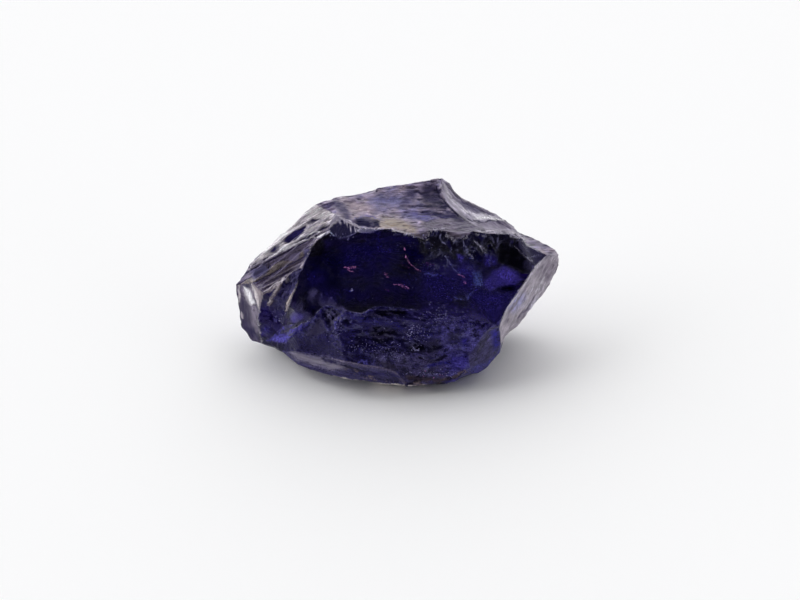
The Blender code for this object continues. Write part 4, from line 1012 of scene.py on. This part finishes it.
def painted(spots, normals):
    """The skin at each point of the stone: its cover, dullness, colour, relief, streaks and veins."""
    marks = seen(spots)
    ragged = marks + 0.07 * np.column_stack([rough(spots, 0.5, 2, 1.0), rough(spots, 0.5, 2, 2.0)])
    patches = rough(spots, 0.7, 2, 77.0)
    faces_us = facing(spots, normals)
    visible = (faces_us > GRAZING).astype(float)
    shares = {face: ramp(edge_gap(marks, border), -0.04, 0.04) * visible for face, border in FACES.items()}
    shares["shoulder"] *= ramp(faces_us, 0.1, 0.4)  # its steps' upper sides are hidden behind their edges
    shares["hidden"] = np.clip(1.0 - sum(shares.values()), 0.0, 1.0)
    paint = dict(cover=np.zeros(len(spots)), dull=np.zeros(len(spots)), colour=np.ones((len(spots), 4)),
                 rise=np.zeros(len(spots)), flow=spots / 0.2, veins=np.zeros(len(spots)),
                 away=ramp(-faces_us, -0.1, 0.35))
    for face, (cover, dull, colour) in GROUND.items():
        mix(paint, shares[face], max(cover, 0.001), dull, colour)
    for face, texture in TEXTURES.items():
        near = np.flatnonzero(shares[face] > 0)
        part_of(paint, near, lambda part: texture(spots[near], marks[near], shares[face][near], part))
    shares["visible"] = visible
    for face, made in MARKS.items():
        for mark in made:
            lay(mark, ragged, shares[face], patches, paint)
    chip_edges(spots, marks, visible, paint)
    paint["cover"] = np.clip(paint["cover"], 0.0, MOST_COVER)
    paint["colour"] = np.clip(paint["colour"], *SKIN_TONES)
    return paint


def give(mesh, name, kind, field, values):
    """Store values at a mesh's points for the material to read."""
    layer = mesh.attributes.new(name, kind, "POINT")
    layer.data.foreach_set(field, values.astype(np.float32).ravel())


def stone(material):
    """The whole stone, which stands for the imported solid."""
    data = fine_stone()
    spots = spots_of(data)
    normals = normals_of(data)
    paint = painted(spots, normals)
    data.vertices.foreach_set("co", ((spots + normals * paint["rise"][:, None]) * MM).ravel())
    give(data, "cover", "FLOAT", "value", paint["cover"])
    give(data, "dull", "FLOAT", "value", paint["dull"])
    give(data, "skin", "FLOAT_COLOR", "color", paint["colour"])
    give(data, "flow", "FLOAT_VECTOR", "vector", paint["flow"])
    give(data, "veins", "FLOAT", "value", paint["veins"])
    data.polygons.foreach_set("use_smooth", [True] * len(data.polygons))
    data.set_sharp_from_angle(angle=SHARP_ANGLE)
    data.update()
    thing = piece("iolite_stone", data, material)
    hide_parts("iolite")
    return thing


# What lies inside the stone, and pale specks on it that are painted glints

REFRACTION = 1.54
INTO_STONE = 1 / REFRACTION  # how much light slows down as it enters


def under_mark(tree, mark, depth):
    """The place that far inside the surface, where the camera sees it at that mark."""
    eye, right, up, forward = view_axes()
    place = eye + forward * VIEW_DISTANCE + right * mark[0] + up * mark[1]
    way = Vector(place - eye).normalized()
    hit, normal = tree.ray_cast(Vector(eye), way)[:2]
    if hit is None:
        return None
    steep = -way.dot(normal)
    turn = INTO_STONE * steep - math.sqrt(1 - INTO_STONE ** 2 * (1 - steep ** 2))
    return np.array(hit + (INTO_STONE * way + turn * normal) * depth)


def add_flake(mesh, middle, size, lean, thick, rng):
    """An irregular plate, six-cornered, that leans away from the camera's direction."""
    forward = view_axes()[3]
    face = -forward + lean * rng.normal(size=3)
    face /= np.linalg.norm(face)
    side = np.cross(face, rng.normal(size=3))
    side /= np.linalg.norm(side)
    other = np.cross(face, side)
    turn = rng.uniform(0.6, 1.4)
    ring = []
    for step in range(6):
        angle = step * math.pi / 3
        reach = size * rng.uniform(0.55, 1.0)
        corner = middle + reach * (math.cos(angle) * turn * side + math.sin(angle) * other / turn)
        ring.append(mesh.verts.new(Vector(corner * MM)))
    top = mesh.verts.new(Vector((middle + face * size * thick) * MM))
    foot = mesh.verts.new(Vector((middle - face * size * thick) * MM))
    for a, b in zip(ring, ring[1:] + ring[:1]):
        mesh.faces.new((a, b, top))
        mesh.faces.new((b, a, foot))


def flakes(name, tree, material, trails, clouds, thick, seed):
    """Many tiny plates, along trails and in clouds that thin out to their edges."""
    rng = np.random.RandomState(seed)
    mesh = bmesh.new()
    for points, count, spread, size, depth in trails:
        points = np.array(points)
        lengths = np.linalg.norm(np.diff(points, axis=0), axis=1)
        stops = np.concatenate([[0], np.cumsum(lengths)]) / lengths.sum()
        for share in rng.uniform(size=count):
            mark = np.array([np.interp(share, stops, points[:, 0]), np.interp(share, stops, points[:, 1])])
            place = under_mark(tree, mark + rng.normal(size=2) * spread, depth * rng.uniform(0.6, 1.4))
            if place is not None:
                add_flake(mesh, place, size * rng.uniform(0.4, 1.3), 0.6, thick, rng)
    for (across, above, width, height), count, size, near, deep in clouds:
        for _ in range(count):
            mark = np.array([across, above]) + rng.normal(size=2) * np.array([width, height]) / 2
            place = under_mark(tree, mark, rng.uniform(near, deep))
            if place is not None:
                add_flake(mesh, place, size * rng.uniform(0.35, 1.3), 0.8, thick, rng)
    data = bpy.data.meshes.new(name)
    mesh.to_mesh(data)
    mesh.free()
    piece(name, data, material)


# Clouds: middle and half size as the camera sees them, count, size, and depth from and to
SCALE_CLOUDS = [
    ((7.2, 1.9, 0.5, 0.7), 90, 0.09, 0.05, 0.5),
    ((7.3, 1.45, 0.3, 0.12), 26, 0.1, 0.03, 0.2),
    ((6.1, 2.7, 0.8, 0.4), 70, 0.07, 0.1, 0.6),
    ((8.4, 3.7, 0.6, 0.5), 70, 0.08, 0.2, 0.8),
    ((5.6, 4.0, 0.3, 0.3), 26, 0.08, 0.3, 0.8),
    ((6.6, 3.9, 0.8, 0.6), 50, 0.06, 0.1, 0.6),
    ((3.8, 0.8, 1.6, 1.2), 90, 0.055, 0.2, 1.0),
    ((1.2, 1.8, 1.2, 0.8), 40, 0.05, 0.2, 1.2),
    ((-4.6, 1.0, 0.5, 0.4), 20, 0.05, 0.1, 0.6),
    ((-8.4, 2.0, 0.4, 0.4), 20, 0.09, 0.5, 1.2),
    ((8.5, -0.3, 1.0, 0.9), 50, 0.05, 0.3, 1.4),
]
SCALE_TRAILS = [
    ([(2.2, 2.4), (2.6, 2.5), (3.1, 2.3), (3.6, 2.4)], 40, 0.03, 0.06, 0.2),
    ([(5.0, 0.3), (5.4, 0.1), (6.0, 0.0)], 30, 0.03, 0.05, 0.2),
    ([(6.3, 0.0), (6.5, 0.5), (6.8, 0.8)], 26, 0.03, 0.05, 0.2),
    ([(4.2, 4.2), (4.7, 3.4), (5.1, 2.8)], 40, 0.02, 0.05, 0.12),
    ([(-2.0, 6.0), (-2.0, 5.1), (-1.9, 4.8), (-1.3, 4.6), (-0.6, 4.7)], 60, 0.1, 0.06, 0.8),
]
# Pale specks on the surface: painted glints where tiny facets would catch the light
GLINT_SPECK_CLOUDS = [
    ((1.6, -3.0, 1.3, 0.9), 90, 0.05, -0.02, 0.02),
    ((1.1, -2.9, 0.5, 0.7), 20, 0.07, -0.02, 0.02),
    ((-2.6, -4.4, 2.6, 0.8), 90, 0.05, -0.02, 0.02),
    ((-0.6, -5.2, 1.6, 0.4), 60, 0.05, -0.02, 0.02),
    ((4.2, -1.4, 1.9, 1.1), 110, 0.05, -0.02, 0.02),
    ((3.4, -6.9, 2.6, 0.3), 80, 0.06, -0.02, 0.02),
    ((1.4, -4.6, 0.5, 0.2), 10, 0.08, -0.03, 0.0),
    ((0.5, -3.6, 5.5, 2.0), 90, 0.045, -0.02, 0.02),
    ((-5.9, -3.0, 0.8, 0.8), 36, 0.055, -0.02, 0.02),
    ((-11.4, -1.6, 1.0, 1.4), 30, 0.05, -0.02, 0.02),
    ((-0.9, 0.5, 5.0, 1.4), 34, 0.036, -0.01, 0.05),
    ((4.0, 5.0, 4.0, 0.9), 60, 0.045, -0.02, 0.05),
    ((-5.3, 5.9, 1.2, 0.4), 34, 0.05, -0.02, 0.02),
    ((0.8, 6.1, 1.6, 0.2), 30, 0.06, -0.03, 0.0),
]
GLINT_SPECK_TRAILS = [
    ([(-11.3, -1.9), (-11.25, -1.95)], 5, 0.03, 0.09, 0.0),
    ([(-4.6, 0.95), (-4.5, 0.9)], 8, 0.05, 0.08, 0.0),
    ([(1.2, -4.55), (1.4, -4.65)], 8, 0.05, 0.08, 0.0),
]
IRON_TRAILS = [
    ([(0.4, 4.9), (0.45, 4.7)], 8, 0.03, 0.075, 0.0),
    ([(0.5, 4.15), (0.55, 4.0)], 8, 0.03, 0.075, 0.0),
    ([(0.6, 3.9), (0.8, 3.6), (1.1, 3.2), (1.5, 2.9), (1.9, 2.7)], 70, 0.035, 0.036, 0.0),
    ([(0.1, 3.5), (0.5, 3.2), (1.0, 2.95)], 26, 0.07, 0.032, 0.02),
    ([(2.3, 3.4), (2.7, 3.3), (3.2, 3.4)], 36, 0.09, 0.045, 0.1),
    ([(5.4, 2.4), (5.7, 2.3), (6.1, 2.1)], 26, 0.02, 0.035, 0.0),
    ([(6.0, 1.8), (6.1, 1.5)], 16, 0.05, 0.04, 0.0),
    ([(-0.7, 1.45), (0.1, 1.45), (0.4, 1.3)], 40, 0.02, 0.035, 0.0),
    ([(0.2, 1.2), (0.5, 1.25), (0.8, 1.05)], 30, 0.06, 0.04, 0.0),
    ([(-5.2, 3.1), (-4.9, 2.95), (-4.7, 3.0)], 20, 0.06, 0.06, 0.0),
    ([(-4.5, 3.05), (-4.1, 3.1)], 18, 0.05, 0.055, 0.0),
    ([(-4.9, 2.85), (-4.6, 2.7), (-4.3, 2.6)], 24, 0.03, 0.04, 0.0),
    ([(-1.4, 2.5), (-1.2, 2.35)], 12, 0.06, 0.04, 0.0),
    ([(-1.25, 2.2), (-1.1, 2.05)], 10, 0.04, 0.035, 0.0),
    ([(-2.3, 3.2), (-2.1, 3.0)], 8, 0.05, 0.03, 0.02),
    ([(-1.3, 0.9), (-1.0, 0.9)], 12, 0.06, 0.04, 0.02),
    ([(2.2, -7.0), (4.6, -6.9)], 10, 0.2, 0.05, 0.0),
]


# Materials

def gem_iolite():
    """Clear gem cordierite, broken: glassy, deep violet blue inside, lilac grey where it is frosted."""
    material = bpy.data.materials.new("broken_gem_iolite")
    material.use_nodes = True
    tree = material.node_tree
    shader = tree.nodes["Principled BSDF"]
    cover = add(tree, "ShaderNodeAttribute", {"attribute_name": "cover"}).outputs["Fac"]
    dull = add(tree, "ShaderNodeAttribute", {"attribute_name": "dull"}).outputs["Fac"]
    skin = add(tree, "ShaderNodeAttribute", {"attribute_name": "skin"}).outputs["Color"]
    flow = add(tree, "ShaderNodeAttribute", {"attribute_name": "flow"}).outputs["Vector"]
    place = add(tree, "ShaderNodeTexCoord").outputs["Object"]
    # Streaks along each face's run, and a grain of 0.1 mm, break the skin up
    streaks = add(tree, "ShaderNodeTexNoise", None, Vector=flow, Scale=1.0, Detail=3.0, Roughness=0.6)
    bent = add(tree, "ShaderNodeVectorMath", {"operation": "MULTIPLY_ADD"}, _0=streaks.outputs["Color"],
               _1=(3.5, 3.5, 3.5), _2=flow)
    cracks = add(tree, "ShaderNodeTexVoronoi", {"feature": "DISTANCE_TO_EDGE"}, Vector=bent.outputs[0],
                 Scale=0.3)
    line = add(tree, "ShaderNodeMapRange", None, Value=cracks.outputs["Distance"], From_Min=0.02,
               From_Max=0.11, To_Min=1.0, To_Max=0.0)
    veins = add(tree, "ShaderNodeAttribute", {"attribute_name": "veins"}).outputs["Fac"]
    pale = add(tree, "ShaderNodeMath", {"operation": "MULTIPLY", "use_clamp": True}, _0=line.outputs[0],
               _1=veins)
    dark = add(tree, "ShaderNodeMath", {"operation": "MULTIPLY"}, _0=line.outputs[0], _1=veins)
    dimmed = add(tree, "ShaderNodeMapRange", None, Value=dark.outputs[0], From_Min=-1.0, From_Max=0.0,
                 To_Min=0.25, To_Max=1.0)
    grain = add(tree, "ShaderNodeTexNoise", None, Vector=place, Scale=1 / (0.1 * MM), Detail=2.0)
    both = add(tree, "ShaderNodeMath", {"operation": "ADD"}, _0=streaks.outputs["Fac"],
               _1=grain.outputs["Fac"])
    uneven = add(tree, "ShaderNodeMapRange", {"clamp": False}, Value=both.outputs[0], From_Min=0.7,
                 From_Max=1.3, To_Min=0.5, To_Max=1.5)
    covered = add(tree, "ShaderNodeMath", {"operation": "MULTIPLY_ADD", "use_clamp": True}, _0=cover,
                  _1=uneven.outputs[0], _2=pale.outputs[0])
    tone = add(tree, "ShaderNodeMath", {"operation": "MULTIPLY"}, _0=uneven.outputs[0], _1=dimmed.outputs[0])
    lit = add(tree, "ShaderNodeVectorMath", {"operation": "SCALE"}, _0=skin, Scale=tone.outputs[0])
    part = add(tree, "ShaderNodeMath", {"operation": "DIVIDE", "use_clamp": True}, _0=pale.outputs[0],
               _1=covered.outputs[0])
    colour = add(tree, "ShaderNodeMix", {"data_type": "RGBA"}, _0=part.outputs[0], _6=lit.outputs[0])
    colour.inputs[7].default_value = linear(HACKLE)
    clear = add(tree, "ShaderNodeMath", {"operation": "SUBTRACT", "use_clamp": True}, _0=1.0,
                _1=covered.outputs[0])
    bump = add(tree, "ShaderNodeBump", None, Height=both.outputs[0], Distance=0.03 * MM)
    strength = add(tree, "ShaderNodeMapRange", None, Value=dull, From_Min=0.04, From_Max=0.3, To_Min=0.0,
                   To_Max=0.8)
    tree.links.new(strength.outputs[0], bump.inputs["Strength"])
    tree.links.new(colour.outputs[2], shader.inputs["Base Color"])
    tree.links.new(clear.outputs[0], shader.inputs["Transmission Weight"])
    tree.links.new(dull, shader.inputs["Roughness"])
    tree.links.new(bump.outputs[0], shader.inputs["Normal"])
    shader.inputs["IOR"].default_value = REFRACTION
    shader.inputs["Specular IOR Level"].default_value = 0.15
    # A painted sheen: reflections tinted violet, standing in for violet light that the fine steps under the
    # surface send back
    shader.inputs["Specular Tint"].default_value = linear("#9c8fe6")
    # Dichroic cordierite absorbs yellow and red, so deep paths turn violet blue
    inside = add(tree, "ShaderNodeVolumeAbsorption")
    inside.inputs["Color"].default_value = (0.41, 0.1, 0.74, 1.0)
    inside.inputs["Density"].default_value = 900.0
    tree.links.new(inside.outputs[0], tree.nodes["Material Output"].inputs["Volume"])
    return material


def opaque(name, hex_colour, roughness):
    """A plain opaque mineral skin with a fine grain in its colour."""
    material = bpy.data.materials.new(name)
    material.use_nodes = True
    tree = material.node_tree
    shader = tree.nodes["Principled BSDF"]
    place = add(tree, "ShaderNodeTexCoord").outputs["Object"]
    grain = add(tree, "ShaderNodeTexNoise", None, Vector=place, Scale=1 / (0.3 * MM), Detail=3.0)
    shades = add(tree, "ShaderNodeMix", {"data_type": "RGBA"}, _0=grain.outputs["Fac"])
    full = linear(hex_colour)
    shades.inputs[6].default_value = [0.45 * part for part in full[:3]] + [1.0]
    shades.inputs[7].default_value = [min(1.0, 1.4 * part) for part in full[:3]] + [1.0]
    tree.links.new(shades.outputs[2], shader.inputs["Base Color"])
    shader.inputs["Roughness"].default_value = roughness
    return material


def white_card():
    """Matte white card under the stone."""
    material = bpy.data.materials.new("matte_white_card")
    material.use_nodes = True
    shader = material.node_tree.nodes["Principled BSDF"]
    shader.inputs["Base Color"].default_value = linear("#fafafb")
    shader.inputs["Roughness"].default_value = 0.9
    return material


# The studio

FLOOR_REACH = 1.5  # metres to each side
ROOM_LIGHT = 1.15
# Patches of the sky: direction, degrees off it where the patch starts and where it is full, and brightness
PATCHES = [
    ((0.0, 0.1, 1.0), 45, 20, 1.9),
    ((0.0, 0.8, 0.6), 45, 25, 2.1),
    ((-0.9, 0.1, 0.5), 40, 22, 2.6),
    ((0.0, -0.64, 0.76), 62, 42, 0.04),
    ((0.0, -1.0, 0.1), 60, 40, 0.04),
]


def floor():
    """The card's flat top."""
    mesh = bmesh.new()
    bmesh.ops.create_grid(mesh, x_segments=4, y_segments=4, size=FLOOR_REACH)
    data = bpy.data.meshes.new("floor")
    mesh.to_mesh(data)
    mesh.free()
    data.materials.append(white_card())
    thing = bpy.data.objects.new("floor", data)
    bpy.context.scene.collection.objects.link(thing)


def patch(tree, way, direction, start, full):
    """How far the world's direction lies in a round patch of the sky, from 0 outside to 1 inside."""
    direction = Vector(direction).normalized()
    turn = add(tree, "ShaderNodeVectorMath", {"operation": "DOT_PRODUCT"}, _0=way, _1=tuple(direction))
    edge = add(tree, "ShaderNodeMapRange", {"interpolation_type": "SMOOTHSTEP"}, Value=turn.outputs["Value"],
               From_Min=math.cos(math.radians(start)), From_Max=math.cos(math.radians(full)))
    return edge.outputs[0]


def sky():
    """A soft white studio: bright cloth behind and to the sides, and a dark place over the camera."""
    world = bpy.data.worlds.new("studio")
    world.use_nodes = True
    tree = world.node_tree
    way = add(tree, "ShaderNodeTexCoord").outputs["Generated"]
    light = ROOM_LIGHT
    for direction, start, full, level in PATCHES:
        place = patch(tree, way, direction, start, full)
        step = add(tree, "ShaderNodeMix", {"data_type": "FLOAT"}, _0=place, _2=light, _3=level)
        light = step.outputs[0]
    background = tree.nodes["Background"]
    background.inputs["Color"].default_value = linear("#ffffff")
    tree.links.new(light, background.inputs["Strength"])
    bpy.context.scene.world = world


def camera():
    """The camera, where the photo was taken from."""
    eye, _, _, forward = view_axes()
    data = bpy.data.cameras.new("camera")
    data.lens = LENS
    data.sensor_width = SENSOR
    data.clip_start = 0.01
    thing = bpy.data.objects.new("camera", data)
    thing.location = Vector(eye * MM)
    thing.rotation_euler = Vector(forward).to_track_quat("-Z", "Y").to_euler()
    bpy.context.scene.collection.objects.link(thing)
    bpy.context.scene.camera = thing


gem = stone(gem_iolite())
corners = [face.vertices[:] for face in gem.data.polygons]
gem_surface = BVHTree.FromPolygons(spots_of(gem.data).tolist(), corners)
pale_scale = opaque("pale_scale", "#a9b4ff", 0.5)
# Pale specks on the surface: painted glints
painted_glint_skin = opaque("painted_glint_skin", "#a6a0e6", 0.3)
iron_scale = opaque("iron_oxide_scale", "#ff90dc", 0.4)
flakes("healed_scales", gem_surface, pale_scale, SCALE_TRAILS, SCALE_CLOUDS, 0.15, 3)
flakes("painted_glint_specks", gem_surface, painted_glint_skin, GLINT_SPECK_TRAILS, GLINT_SPECK_CLOUDS, 0.5, 4)
flakes("iron_flakes", gem_surface, iron_scale, IRON_TRAILS, [], 0.15, 5)
floor()
sky()
camera()
bpy.context.scene.view_settings.view_transform = "Standard"
